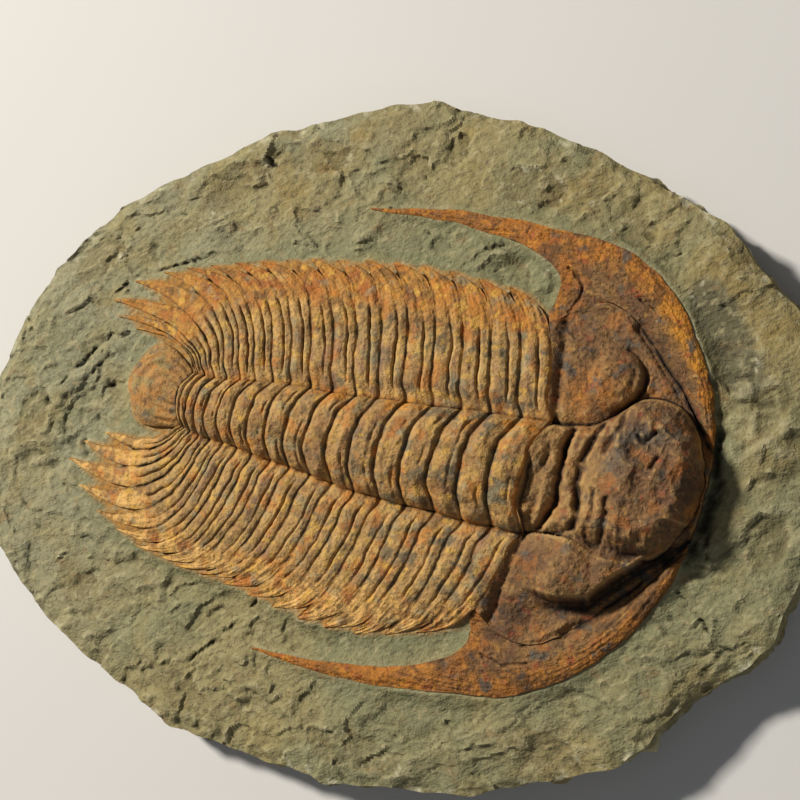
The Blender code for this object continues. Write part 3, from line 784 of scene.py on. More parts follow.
@dataclass(frozen=True)
class ThoraxForm:
    """The flow of ribs that all eighteen segments and the pygidium's front share."""

    count: int = 18
    front: float = 77.5
    first_pitch: float = 15.9
    pitch_loss: float = 12.2
    pitch_power: float = 1.7
    half_width: float = 28.5
    taper: float = 0.5
    taper_power: float = 1.6
    length: float = 197.0
    ring_bow: float = 2.0
    axis_share: float = 0.28
    midline_fade: float = 0.5
    ring_jog: float = 2.8
    shoulder_sweep: float = 0.12
    shoulder_front: float = 0.85
    shoulder_rear: float = 1.35
    swing: tuple[float, float] = (0.45, 0.92)
    swing_fade: float = 0.09
    # Place in the row, reach of the left and the right tip, and how far back they are swept
    tips: tuple[tuple[float, float, float, float], ...] = (
        (0, 88, 88, 29), (2, 93, 96, 30), (4, 95, 97, 31.5),
        (6, 92.5, 91, 34), (8, 88.5, 86, 37.5), (10, 82, 83.5, 42.5),
        (12, 73.5, 78, 49.5), (13.5, 65.5, 69, 57), (14.5, 56.5, 59.5, 65),
        (15.5, 43.5, 47.5, 69), (16.5, 35.5, 36, 59), (17.5, 31.5, 27, 43),
        (18, 30, 23.5, 33),
    )

    def station(self, q: Field) -> Field:
        """Return u of the joint in front of a segment.

        u falls by the first pitch for each segment, less a loss that grows with a power of the
        place in the row.

        Args:
            q: Numbers of the segments, from 0, which may be fractions.

        Returns:
            Places along the body.
        """
        loss = self.pitch_loss * (self.count - 1) / (self.pitch_power + 1.0)
        along = np.maximum(q, 0.0) / (self.count - 1)
        return self.front - self.first_pitch * q + loss * along ** (self.pitch_power + 1.0)

    def lobe(self, q: Field) -> Field:
        """Return half the width of the axial lobe, which tapers to the tail."""
        back = np.maximum(self.front - self.station(q), 0.0) / self.length
        return self.half_width * (1.0 - self.taper * back ** self.taper_power)

    def shares(self, t: Field) -> tuple[Field, Field]:
        """Split the way along a rib at the lobe's side.

        Args:
            t: Places along the rib, from -1 to 1.

        Returns:
            The share of the axial lobe's half, and the share of the pleura beyond it.
        """
        across = np.clip(np.abs(t) / self.axis_share, 0.0, 1.0)
        out = np.clip((np.abs(t) - self.axis_share) / (1.0 - self.axis_share), 0.0, 1.0)
        return across, out

    def point(self, q: Field, t: Field) -> tuple[Field, Field]:
        """Return u and v of the flow of ribs.

        q counts segments from the front, and t runs from -1 at the right spine's tip to 1 at the
        left one. On the lobe a rib is straight with a slight bow, and its ends swing forward.
        Beyond it, it follows a quadratic curve that leaves the lobe sideways and ends swept back
        at the tip.

        Args:
            q: Places in the row of segments.
            t: Places along the rib.

        Returns:
            Shell coordinates u and v.
        """
        place, left, right, back = np.array(self.tips).T
        across, out = self.shares(t)
        half = self.lobe(q)
        tail = (np.maximum(q, 0.0) / self.count) ** 2
        shoulder = self.shoulder_front + (self.shoulder_rear - self.shoulder_front) * tail
        reach = np.where(t > 0.0, smooth_read(place, left, q), smooth_read(place, right, q))
        middle = 2.0 * out * (1.0 - out)
        v = np.sign(t) * (half * across + (reach - half) * (middle * shoulder + out ** 2))
        v = v + LIE.midline(self.station(q)) * (1.0 - smoothstep(0.0, self.midline_fade, out))
        u = self.station(q) - self.ring_bow * (1.0 - across ** 2)
        u = u - smooth_read(place, back, q) * (middle * self.shoulder_sweep + out ** 2)
        swing = smoothstep(*self.swing, across) * (1.0 - smoothstep(0.0, self.swing_fade, out))
        return u + self.ring_jog * (1.0 - 0.5 * np.clip(q, 0.0, self.count) / self.count) * swing, v

    def half_gap(self, number: float) -> float:
        """Return half the open joint between segments, as a share of a segment's length."""
        pitch = self.station(np.float64(number)) - self.station(np.float64(number + 1.0))
        return float(0.5 * LIE.joint_gap / pitch)


THORAX = ThoraxForm()


@dataclass(frozen=True)
class HeadForm:
    """Outline and heights of the head shield that the cranidium and the cheeks share."""

    centre: float = 66.0
    length: float = 96.0
    half_width: float = 118.3
    lean: float = 2.7
    bulge: float = 4.5
    tip_width: float = 0.5
    tip: float = -45.0
    rim_edge: float = 2.0
    rim_front: float = 9.0
    rim_side: float = 27.0
    rim_crown: float = 3.0
    cheek_rise: float = 6.5
    cheek_slope: float = 24.0
    lobe_rear: float = 27.5
    lobe_flare: float = 13.0
    lobe_waist: float = 98.0
    lobe_widest: float = 127.0
    lobe_nose: float = 34.5
    rear_height: float = 19.5
    front_height: float = 29.0
    lobe_floor: float = 5.0
    rounding: float = 3.4
    lobe_shares: tuple[float, float] = (0.45, 0.93)
    moat_depth: float = 3.0
    moat_breadth: float = 4.0
    eye_u: float = 107.0
    eye_v: float = 50.0
    eye_radius: float = 15.0
    eye_rise: float = 4.6
    suture_start: float = 0.58
    seam_depth: float = 4.4
    seam_breadth: float = 2.4
    seam_line: float = 1.5
    suture: Path = (
        (74, 79), (82, 84), (92, 86.5), (101, 84.5), (109, 79.5), (117, 72),
        (126.5, 62.5), (135, 54), (142.5, 44.5), (151, 33.5), (156, 27), (159.5, 22.5),
    )
    groove: Path = (
        (112, 77), (117, 72), (126.5, 62.5), (135, 54), (142.5, 44.5), (151, 33.5),
        (156, 27), (159.5, 22.5),
    )
    spine_inner: Path = (
        (-45, 118), (-22, 117.7), (0, 116.7), (21, 114), (39, 110), (51, 105.5),
        (60, 100.5), (66, 94), (66.5, 86), (64.5, 79),
    )
    spine_rows: int = 4
    spine_ridge: float = 0.20
    spine_merge: tuple[float, float] = (20.0, 62.0)
    # Lines that tints follow: orange notch, yellow streak, grey smudge, orange spots, tan
    notch: Path = ((67, 102), (70, 94), (68, 88), (66, 80))
    streak: Path = ((122, 88), (140, 68), (152, 54))
    smudge: Path = ((143, 28), (129, 23), (120, 18), (119, 7))
    spots: Path = ((88, 36), (97, 48), (104, 44))
    tan: Path = ((84, 24), (83, -24), (104, -24), (106, 6))

    def lobe_half(self, u: Field) -> Field:
        """Return half the width of the glabella: it flares forward to a blunt nose.

        Args:
            u: Places along the body.

        Returns:
            The rear width and an S of the flare, closed by a superellipse of power 3.
        """
        flare = self.lobe_flare * smoothstep(self.lobe_waist, self.lobe_widest, u)
        nose = np.clip((u - self.lobe_widest) / self.lobe_nose, 0.0, 1.0)
        return (self.lobe_rear + flare) * (1.0 - nose ** 3.0) ** 0.8

    def outer(self, u: Field) -> Field:
        """Return v of the outer margin: an ellipse over the head, a bulging line down the spine.

        Args:
            u: Places along the body.

        Returns:
            The ellipse, plus half a sine wave and a straight share down the spine.
        """
        forward = np.clip((u - self.centre) / self.length, 0.0, 1.0)
        along = np.clip((self.centre - u) / (self.centre - self.tip), 0.0, 1.0)
        ellipse = self.half_width * np.sqrt(1.0 - forward ** 2)
        return ellipse + self.bulge * np.sin(math.pi * along) + self.tip_width * along

    def front(self, v: Field) -> Field:
        """Return u of the front margin, an ellipse, at v."""
        return self.centre + self.length * np.sqrt(1.0 - (v / self.half_width) ** 2)

    def inward(self, u: Field, across: Field) -> tuple[Field, Field]:
        """Return how far in from the margin a point lies.

        Args:
            u: Places along the body.
            across: Places off the midline.

        Returns:
            The way in, by the ratio to the ellipse's radius, and the border's width there, which
            grows with the square of the sideways share. Both are in millimetres.
        """
        forward = np.maximum(u - self.centre, 0.0) / self.length
        radius = np.sqrt(forward ** 2 + (across / self.half_width) ** 2)
        sideways = across / np.maximum(radius * self.half_width, 1.0)
        border = self.rim_front + (self.rim_side - self.rim_front) * sideways ** 2
        return (1.0 - radius) * self.length, border

    def cheek_height(self, u: Field, across: Field) -> Field:
        """Return the height of the crowned border and of the cheek that rises inside it.

        Args:
            u: Places along the body.
            across: Places off the midline.

        Returns:
            Half a sine wave over the border, and an S up to the cheek.
        """
        inward, border = self.inward(u, across)
        share = np.clip(inward / border, 0.0, 1.0)
        rim = self.rim_edge + self.rim_crown * np.sin(math.pi * share ** 0.8)
        return rim + self.cheek_rise * smoothstep(0.0, self.cheek_slope, inward - border)

    def seam(self, u: Field, across: Field) -> tuple[Field, Field]:
        """Return how deep the front part of the facial suture is cut and how near it is.

        Args:
            u: Places along the body.
            across: Places off the midline.

        Returns:
            The cut in millimetres, a bell across the groove's path, and a narrower bell.
        """
        way = path_distance(u, across, self.groove)
        return self.seam_depth * gauss(way, self.seam_breadth), gauss(way, self.seam_line)

    def tints(self, u: Field, v: Field, x: Field, y: Field, grain: Grain) -> dict[str, Field]:
        """Return where the head is orange, yellow, grey or rusty, alike on all its plates.

        The margin, the notch at the root of the spine and the spine itself are orange. The
        platform inside them is brown, with patches of the other tints.

        Args:
            u: Places along the body.
            v: Places across it, left positive.
            x: World x.
            y: World y.
            grain: Noise for ragged edges.

        Returns:
            A value from 0 to 1 for each tint.
        """
        across = np.abs(v)
        ragged = 5.0 * grain.layers(x, y, 16.0, 3)
        inward, border = self.inward(u, across)
        margin = smoothstep(0.55, 0.15, (inward + ragged) / border)
        margin = margin * (0.65 + 0.35 * smoothstep(0.0, 30.0, v))
        spine = smoothstep(66.0, 44.0, u + ragged)
        notch = gauss(path_distance(u, across, self.notch), 5.0)
        patches = smoothstep(0.3, 0.7, grain.layers(x + 40.0, y, 10.0, 3)) * (1.0 - 0.8 * spine)
        spots = gauss(path_distance(u, v, self.spots), 7.0)
        orange = np.maximum(np.maximum(margin, spine), 0.8 * notch)
        return {
            "ochre": np.clip(orange + 0.7 * spots, 0.0, 1.0),
            "yellow": gauss(path_distance(u, v, self.streak), 4.5),
            "tan": gauss(path_distance(u, v, self.tan), 11.0),
            "smudge": np.maximum(gauss(path_distance(u, v, self.smudge), 7.0), patches),
            "rust": smoothstep(0.3, 0.65, grain.layers(x, y + 60.0, 8.0, 3)),
        }

    def suture_curve(self) -> tuple[Field, Field]:
        """Return the left facial suture.

        Returns:
            u and v of its points, starting on the rear margin.
        """
        rear = THORAX.axis_share + (1.0 - THORAX.axis_share) * self.suture_start
        rear_u, rear_v = THORAX.point(np.float64(-THORAX.half_gap(0)), np.array([rear]))
        points = np.array(self.suture)
        return np.concatenate([rear_u, points[:, 0]]), np.concatenate([rear_v, points[:, 1]])


HEAD = HeadForm()


@dataclass
class Cover:
    """A raster of the slab that knows where plates lie over the rock."""

    cell: float = 1.0
    half_x: float = 260.0
    half_y: float = 210.0
    marked: Field = field(init=False)

    def __post_init__(self) -> None:
        """Start with no cell marked."""
        columns = int(2.0 * self.half_x / self.cell) + 1
        rows = int(2.0 * self.half_y / self.cell) + 1
        self.marked = np.zeros((columns, rows))

    def mark(self, sheet: Sheet) -> None:
        """Note every cell that one of the sheet's points lies in.

        Args:
            sheet: Upper side of a plate.
        """
        column = np.rint((sheet.x + self.half_x) / self.cell).astype(int)
        row = np.rint((sheet.y + self.half_y) / self.cell).astype(int)
        self.marked[column, row] = 1.0

    def blurred(self, breadth: float) -> Field:
        """Spread the marks out: their Fourier transform times that of a bell.

        Args:
            breadth: Way in millimetres in which the bell falls to 0.37.

        Returns:
            A raster from 0 to 1.
        """
        along = np.fft.fftfreq(self.marked.shape[0], d=self.cell)[:, None]
        across = np.fft.rfftfreq(self.marked.shape[1], d=self.cell)[None, :]
        bell = np.exp(-(math.pi * breadth) ** 2 * (along ** 2 + across ** 2))
        return np.fft.irfft2(np.fft.rfft2(self.marked) * bell, s=self.marked.shape)

    def read(self, raster: Field, x: Field, y: Field) -> Field:
        """Read a raster between its cells, by straight shares of the four nearest.

        Args:
            raster: Value of each cell.
            x: World x.
            y: World y.

        Returns:
            The value at each point.
        """
        column = np.clip((x + self.half_x) / self.cell, 0.0, raster.shape[0] - 1.001)
        row = np.clip((y + self.half_y) / self.cell, 0.0, raster.shape[1] - 1.001)
        low_c, low_r = column.astype(int), row.astype(int)
        share_c, share_r = column - low_c, row - low_r
        near = raster[low_c, low_r] * (1.0 - share_r) + raster[low_c, low_r + 1] * share_r
        far = raster[low_c + 1, low_r] * (1.0 - share_r) + raster[low_c + 1, low_r + 1] * share_r
        return near * (1.0 - share_c) + far * share_c


# Plates


@dataclass
class ThoracicSegment:
    """One segment: a ring over the axial lobe, and on each side a ribbed pleura and its spine."""

    number: int
    cell: float = 0.5
    crest_front: float = 20.0
    crest_rear: float = 11.0
    vault: float = 0.55
    furrow_height: float = 4.6
    pleura_front: float = 9.0
    pleura_rear: float = 5.5
    ring_groove: float = 5.2
    pleura_groove: float = 3.0
    pleural_furrow: float = 2.0
    furrow_breadth: float = 0.048
    knob_height: float = 1.9
    scar_depth: float = 1.1
    rear_fold: float = 2.0
    rib_crown: float = 0.7
    merge_left: float = 0.44
    merge_right: float = 0.54
    groove_end: float = 0.27
    spine_step: float = 0.55
    tip_height: float = 1.9
    spine_start: float = 0.60
    tip_share: float = 0.10
    tip_taper: tuple[float, float] = (2.8, 1.3)

    @property
    def name(self) -> str:
        """Name of the piece."""
        return f"thorax_ring_{self.number + 1:02d}"

    @property
    def node(self) -> str:
        """Name of the CAD node that it stands for."""
        return f"thoracic_segment_{self.number + 1:02d}"

    def height(self, q: Field, t: Field, rib: Field, grain: Grain) -> tuple[Field, Field]:
        """Return the height of the shell above the bed.

        The axial lobe is a round vault, whose ring swells behind a steep groove and has a knob at
        each end. The pleurae rise from the axial furrow to a low shelf and fall to the spine tips.
        A steep joint starts each rib, a furrow crosses it aslant, and both run out where the
        spines merge, where a small step is left along each front edge. Noise along the rib makes
        every rib deeper here and shallower there.

        Args:
            q: Places in the row of segments.
            t: Places along the rib.
            rib: Places from the front joint, 0, to the rear one, 1.
            grain: Noise for the unevenness.

        Returns:
            The height, and how strongly the inner ribs show, from 1 to 0 on the merged spines.
        """
        across, out = THORAX.shares(t)
        back = q / THORAX.count
        on_axis = across < 1.0
        crest = self.crest_front + (self.crest_rear - self.crest_front) * back ** 1.2
        rise = (1.0 - across ** 2) ** self.vault
        vault = self.furrow_height + (crest - self.furrow_height) * rise
        pleura = self.pleura_front + (self.pleura_rear - self.pleura_front) * back
        shelf = self.furrow_height + (pleura - self.furrow_height) * smoothstep(0.0, 0.10, out)
        slope = shelf + (self.tip_height - shelf) * smoothstep(0.30, 0.95, out)
        height = np.where(on_axis, vault, slope)
        own = float(self.number)
        vary = grain.layers(t * 9.0 + own * 7.3, np.full_like(q, own * 1.7), 1.0, 2, z=80.0)
        other = grain.layers(t * 7.0 - own * 3.1, np.full_like(q, own * 2.3), 1.0, 2, z=90.0)
        merge = np.where(t > 0.0, self.merge_left, self.merge_right)
        ribbed = 1.0 - smoothstep(merge - 0.1, merge + 0.1, out + 0.14 * vary)
        wall = 1.0 - smoothstep(0.02, np.where(on_axis, 0.17, 0.11) + 0.05 * vary, rib)
        swell = 1.0 - smoothstep(0.0, 0.50, rib)
        rear = smoothstep(0.80, 1.0, rib)
        lower = smoothstep(-0.1, 1.0, -t / THORAX.axis_share)
        ring = self.ring_groove * (1.0 - 0.4 * back) * (0.66 * wall + 0.34 * swell)
        ring = ring * (1.0 + 0.35 * lower + 0.25 * vary) + self.rear_fold * rear * (1.0 - 0.5 * back)
        knob = self.knob_height * gauss(across - 0.86, 0.13) * gauss(rib - 0.56, 0.26)
        knob = knob * (1.0 - 0.5 * back)
        scar = self.scar_depth * gauss(rib - 0.30 - 0.08 * other, 0.05) * smoothstep(-0.1, 0.5, other)
        dip = self.pleura_groove * (0.6 * wall + 0.3 * (1.0 - smoothstep(0.0, self.groove_end, rib)))
        dip = dip * (0.06 + 0.94 * ribbed) * (1.0 + 0.35 * vary)
        dip = dip + self.spine_step * (1.0 - ribbed) * (1.0 - smoothstep(0.0, 0.22, rib))
        furrow_at = 0.38 + 0.16 * out + 0.06 * other
        furrow = self.pleural_furrow * gauss(rib - furrow_at, self.furrow_breadth) * ribbed
        furrow = furrow * (1.0 + 0.6 * other) * smoothstep(0.02, 0.10, out)
        crown = self.rib_crown * gauss(rib - 0.74, 0.18) * ribbed
        pleural = dip + furrow - crown + 0.25 * rear * ribbed
        pleural = pleural * (1.0 - 0.35 * smoothstep(0.28, 0.42, -t))
        height = height - np.where(on_axis, ring - knob + scar, pleural)
        return height, ribbed

    def sheet(self, grain: Grain) -> Sheet:
        """Work out the upper side of the segment and its traits.

        Args:
            grain: Noise for the unevenness.

        Returns:
            The upper side, with stations across the body as rows and the rib as columns.
        """
        number = float(self.number)
        tips = np.array(THORAX.tips)
        reach = max(smooth_read(tips[:, 0], tips[:, side], np.float64(number + 0.5)) for side in (1, 2))
        pitch = float(THORAX.station(np.float64(number)) - THORAX.station(np.float64(number + 1.0)))
        stations = int(2.0 * (reach + 12.0) / self.cell)
        points = max(int(pitch / (0.85 * self.cell)), 14)
        t = np.linspace(-1.0, 1.0, stations)[:, None]
        _, out = THORAX.shares(t)
        gap = THORAX.half_gap(number) * (1.0 - 0.8 * smoothstep(0.35, 0.55, out))
        rib = gap + (1.0 - 2.0 * gap) * np.linspace(0.0, 1.0, points)[None, :]
        taper = np.interp(number, (9.0, 14.0), self.tip_taper)
        tip = np.clip((out - self.spine_start) / (1.0 - self.spine_start), 0.0, 1.0) ** taper
        width = 1.0 - (1.0 - self.tip_share) * tip
        q = number + 0.5 + (rib - 0.5) * width
        height, ribbed = self.height(q, t, rib, grain)
        u, v = THORAX.point(q, t)
        x, y = LIE.lay(u, v, grain)
        on_axis = np.abs(t) < THORAX.axis_share
        facets = grain.flakes(x, 0.6 * y, 6.5, 0.9) - 0.3
        rough = 0.42 * grain.layers(x, y, 6.5, 4, 0.62) + np.where(on_axis, 1.5, 0.5) * facets
        along = np.abs(t) * (reach + 12.0)
        streaks = grain.layers(q * pitch / 3.2, along / 26.0 + 40.0 * (t > 0.0), 1.0, 3, 0.5, z=100.0)
        streaks = streaks * (0.45 * (1.0 - ribbed) + 0.2)
        inner = np.minimum(np.minimum(rib, 1.0 - rib) * pitch / 0.8, 1.0)
        z = LIE.floor + np.maximum(height + (rough + np.where(on_axis, 0.0, streaks)) * inner, LIE.edge)
        z = np.broadcast_to(z, x.shape).copy()
        sheet = Sheet(x, y, z)
        sheet.traits = self.traits(sheet, q, t, rib * pitch, pitch, ribbed, grain)
        return sheet

    def traits(self, sheet: Sheet, q: Field, t: Field, way: Field, pitch: float, ribbed: Field,
               grain: Grain) -> dict[str, Field]:
        """Work out where the segment has black joints, painted shade and a painted highlight, and
        where it is orange, brown, grey or brightly spotted.

        Args:
            sheet: The upper side.
            q: Places in the row of segments.
            t: Places along the rib.
            way: Way from the front joint in millimetres.
            pitch: Length of the segment along the body in millimetres.
            ribbed: How strongly the inner ribs show.
            grain: Noise for ragged patches.

        Returns:
            A value from 0 to 1 for each trait and point.
        """
        x, y = sheet.x, sheet.y
        across, _ = THORAX.shares(t)
        on_axis = np.broadcast_to(across < 1.0, x.shape)
        shaded_hollow = sheet.hollows(3)
        edge = np.minimum(way, pitch - way) + 0.25 * grain.layers(x, y, 3.0, 2, z=4.0)
        broken = smoothstep(-0.45, 0.15, grain.layers(x, y, 7.0, 2, z=8.0))
        crack_and_shade = (1.0 - smoothstep(0.15, 0.65, edge)) * (0.5 + 0.5 * ribbed) * broken
        beside = np.abs(t) - THORAX.axis_share
        patches = grain.layers(x + 40.0, y, 11.0, 3)
        flow = grain.layers(q * pitch / 4.5, np.abs(t) * 4.0 + 30.0 * (t > 0.0), 1.0, 2, z=110.0)
        lower = smoothstep(0.25, 0.95, -t / THORAX.axis_share) * on_axis
        right = smoothstep(0.28, 0.42, -t)
        front = smoothstep(10.0, 1.0, q)
        apron = np.broadcast_to(1.0 - ribbed, x.shape)
        seams = 0.7 * smoothstep(0.15, 0.9, shaded_hollow) * smoothstep(-0.2, 0.4, flow)
        # Painted shade: dark in the hollows, less on the apron and on the right pleurae, and across the
        # front groove of each axial ring
        painted_shade = smoothstep(0.35, 1.2, shaded_hollow) * (1.0 - 0.5 * apron) * (1.0 - 0.4 * right)
        painted_shade = painted_shade + 0.7 * on_axis * (1.0 - smoothstep(0.3, 1.6, way))
        orange = apron * (0.95 + 0.4 * flow) + gauss(beside, 0.012) * 0.6 + seams
        return {
            "crack_and_shade": crack_and_shade,
            # Painted shade in the hollows, painted highlight on the crests
            "shaded_hollow": np.clip(painted_shade, 0.0, 1.0),
            "crown": smoothstep(0.15, 0.9, -shaded_hollow),
            "ochre": np.clip(orange, 0.0, 1.0),
            "rust": apron * smoothstep(0.05, 0.5, grain.layers(x, y, 16.0, 3, z=130.0)),
            "brown": np.clip(lower * smoothstep(1.0, 5.0, q) + 0.45 * on_axis, 0.0, 1.0),
            "smudge": smoothstep(0.0, 0.45, patches) * (0.35 + 0.65 * front) * (1.0 - 0.75 * apron),
            "spot": smoothstep(0.2, 0.5, -patches) * gauss(np.abs(t) - 0.24, 0.07),
            "tan": smoothstep(0.2, 0.75, -t) * (0.1 + 0.9 * apron),
            "mauve": smoothstep(0.1, 0.6, flow) * (1.0 - 0.6 * apron),
        }


@dataclass
class Pygidium:
    """The small tail shield: a rounded oval with a low keel and folds along its margin."""

    name: str = "tail_shield"
    node: str = "pygidium"
    length: float = 34.5
    spread: float = 15.0
    height: float = 8.5
    keel: float = 2.4
    keel_half: float = 6.0
    last_row: float = 0.985
    folds: float = 4.2
    fold_height: float = 0.55
    rows: int = 90
    columns: int = 120

    def sheet(self, grain: Grain) -> Sheet:
        """Work out the upper side.

        Half the width grows with the 0.75th power of the way back and is closed by a superellipse
        of power 3.4. The height falls to the margin on both ways, with a keel along the middle
        and three low folds that run round parallel to the margin.

        Args:
            grain: Noise for the unevenness.

        Returns:
            The upper side, from the last joint to the rear margin.
        """
        row = np.linspace(0.0, self.last_row, self.rows)[:, None]
        column = np.linspace(-1.0, 1.0, self.columns)[None, :]
        last = THORAX.count + THORAX.half_gap(THORAX.count - 1)
        front_u, _ = THORAX.point(np.float64(last), column * THORAX.axis_share)
        u = front_u - self.length * row
        spread = THORAX.lobe(np.float64(THORAX.count)) + self.spread * row ** 0.75
        beside = column * spread * np.sqrt(1.0 - row ** 3.4)
        dome = (1.0 - column ** 2) ** 0.35 * (1.0 - row ** 3) ** 0.7
        keel = gauss(beside, self.keel_half) * (1.0 - smoothstep(0.35, 0.75, row))
        height = LIE.edge + (self.height - LIE.edge) * dome + self.keel * keel * dome
        v = beside + LIE.midline(u)
        x, y = LIE.lay(u, v, grain)
        ring = np.sqrt(column ** 2 + (row * 0.95) ** 2)
        turn = 2.0 * math.pi * self.folds * ring + 0.6 * grain.layers(x, y, 12.0, 2)
        folds = self.fold_height * np.sin(turn)
        folds = folds * smoothstep(0.15, 0.35, ring) * (1.0 - smoothstep(0.86, 0.98, ring))
        rough = 0.25 * grain.layers(x, y, 6.0, 3) + 0.12 * grain.layers(x, y, 2.0, 2)
        inner = np.minimum(np.minimum(row / 0.04, (1.0 - np.abs(column)) / 0.04), 1.0)
        sheet = Sheet(x, y, LIE.floor + np.maximum(height + (folds + rough) * inner, LIE.edge))
        shaded_hollow = sheet.hollows(3)
        patches = grain.layers(x + 40.0, y, 9.0, 3)
        sheet.traits = {
            # Black at the front joint, painted shade in the hollows and a painted highlight on the crests
            "crack_and_shade": np.broadcast_to(1.0 - smoothstep(0.005, 0.03, row), x.shape),
            "shaded_hollow": smoothstep(0.1, 0.9, shaded_hollow),
            "crown": smoothstep(0.1, 0.7, -shaded_hollow),
            "smudge": smoothstep(0.2, 0.6, patches),
        }
        return sheet


@dataclass
class Cranidium:
    """The middle of the head shield: glabella, occipital ring, fixed cheeks and eye lobes."""

    name: str = "head_middle"
    node: str = "cranidium"
    rows: int = 205
    columns: int = 330
    # How softly bumps are held under the highest point
    blunt: float = 0.7
    shoulder_height: float = 1.5
    shoulder_breadth: float = 3.4
    eye_groove: float = 0.8
    eye_moat: float = 3.4
    brow_height: float = 8.5
    brow_climb: float = 5.0
    rear_fold: float = 1.7
    rear_groove: float = 1.9
    ridge_height: float = 0.9
    # Low ridge beside the suture, and a crack at the rear of the left side
    cheek_ridge: Path = ((74, 80), (82, 83), (92, 85), (101, 81), (112, 72))
    crack_and_shade: Path = ((73, 76), (77, 71), (81, 67))
    # The right side stands high inside this line: u, and v off the midline
    brow: Path = (
        (95, 61), (103, 63), (120, 60), (127, 52), (138, 40), (149, 29), (161, 19),
    )
    # Ridge where the crown turns down to the nose, and one across the crown
    shoulders: tuple[Path, ...] = (
        ((112, 34), (126, 35), (139, 29), (149, 17), (153, 2), (150, -13), (141, -27)),
        ((113, 27), (124, 12), (129, -6), (127, -24)),
    )
    # Furrows and dents of the glabella: path, depth, breadth
    furrows: tuple[tuple[Path, float, float], ...] = (
        (((92, 28), (92.5, 8), (93, -17), (88, -29)), 5.2, 2.2),
        (((106, 27), (102, 6), (101, -2), (106, -20), (104, -30)), 4.4, 2.1),
        (((112, -6), (114, -16), (112, -28)), 2.2, 1.6),
        (((121, -8), (122, -15), (120, -30)), 3, 1.7),
        (((113, 14), (117, 24), (116, 36)), 2.4, 2),
        (((136, 26), (131, 20), (128, 23)), 1.8, 1.1),
        (((139, 13.5), (137, 8.5)), 1.8, 1.1),
        (((84, 12), (85, -10), (83, -24)), 1.3, 1.6),
    )

    def grid(self) -> tuple[Field, Field]:
        """Return u and v of the rows from the rear margin to the front margin.

        The first row lies along the first segment's front edge, and the bow of each row turns by
        and by into that of the front margin. The inner columns keep to the glabella's sides, and
        the outer ones share what is left up to the suture.

        Returns:
            Shell coordinates, rows by columns.
        """
        suture_u, suture_v = HEAD.suture_curve()
        level = np.linspace(0.0, 1.0, self.rows)[:, None]
        knots = np.linspace(0.0, 1.0, len(suture_u))
        line_u = smooth_read(knots, suture_u, level)
        edge = smooth_read(knots, suture_v, level) - 0.5 * LIE.joint_gap
        end = THORAX.axis_share + (1.0 - THORAX.axis_share) * HEAD.suture_start
        t = np.linspace(-end, end, self.columns)
        joint = np.float64(-THORAX.half_gap(0))
        rear_u, rear_v = THORAX.point(joint, t)
        straight = edge * rear_v / rear_v[-1]
        bow = HEAD.front(straight) - HEAD.front(edge)
        u = line_u + (rear_u - rear_u[-1]) * (1.0 - level) ** 2 + bow * level
        least, most = HEAD.lobe_shares
        half = np.clip(HEAD.lobe_half(u), least * edge, most * edge)
        inner = np.clip(np.abs(t) / THORAX.axis_share, 0.0, 1.0)
        # The lobe's own side on the left and on the right, so that no two columns meet
        _, (right, left) = THORAX.point(joint, THORAX.axis_share * np.array([-1.0, 1.0]))
        lobe = np.where(t > 0.0, left, -right)
        outer = np.clip((np.abs(rear_v) - lobe) / (rear_v[-1] - lobe), 0.0, 1.0) * (inner >= 1.0)
        v = np.sign(t) * (half * inner + (edge - half) * outer) + LIE.midline(u) * (1.0 - outer)
        u[0], v[0], u[-1] = rear_u, rear_v, HEAD.front(v[-1])
        return u, v

    def glabella(self, u: Field, v: Field, grain: Grain) -> Field:
        """Return the height of the glabella and the occipital ring.

        The crown climbs from the ring to the frontal lobe and drops at the nose. Crown line and
        cross-sections are superellipses, which the transverse furrows cut.

        Args:
            u: Places along the body.
            v: Places across it.
            grain: Noise for the dents.

        Returns:
            Height above the bed.
        """
        beside = np.abs(v - LIE.midline(u))
        half = np.maximum(HEAD.lobe_half(u), 0.5)
        climb = smoothstep(93.0, HEAD.lobe_widest, u)
        crown = HEAD.rear_height + (HEAD.front_height - HEAD.rear_height) * climb
        nose = np.clip((u - HEAD.lobe_widest) / HEAD.lobe_nose, 0.0, 1.0)
        side = np.clip(beside / half, 0.0, 1.0)
        rounded = (1.0 - nose ** 5.5) ** 0.7 * (1.0 - side ** HEAD.rounding) ** 0.6
        dome = HEAD.lobe_floor + (crown - HEAD.lobe_floor) * rounded
        dome = dome - (HEAD.lobe_floor - LIE.edge) * smoothstep(0.85, 1.0, nose)
        wander = 1.5 * grain.layers(u, v, 20.0, 3)
        broken = 1.0 + 0.35 * grain.layers(u, v, 18.0, 2, z=7.0)
        cuts = np.zeros_like(u)
        for path, depth, breadth in self.furrows:
            cuts = cuts + depth * gauss(path_distance(u + wander, v + 0.5 * wander, path), breadth)
        for path in self.shoulders:
            way = path_distance(u + wander, v + wander, path)
            cuts = cuts - self.shoulder_height * gauss(way, self.shoulder_breadth)
        return dome - cuts * broken * smoothstep(1.0, 0.88, side)

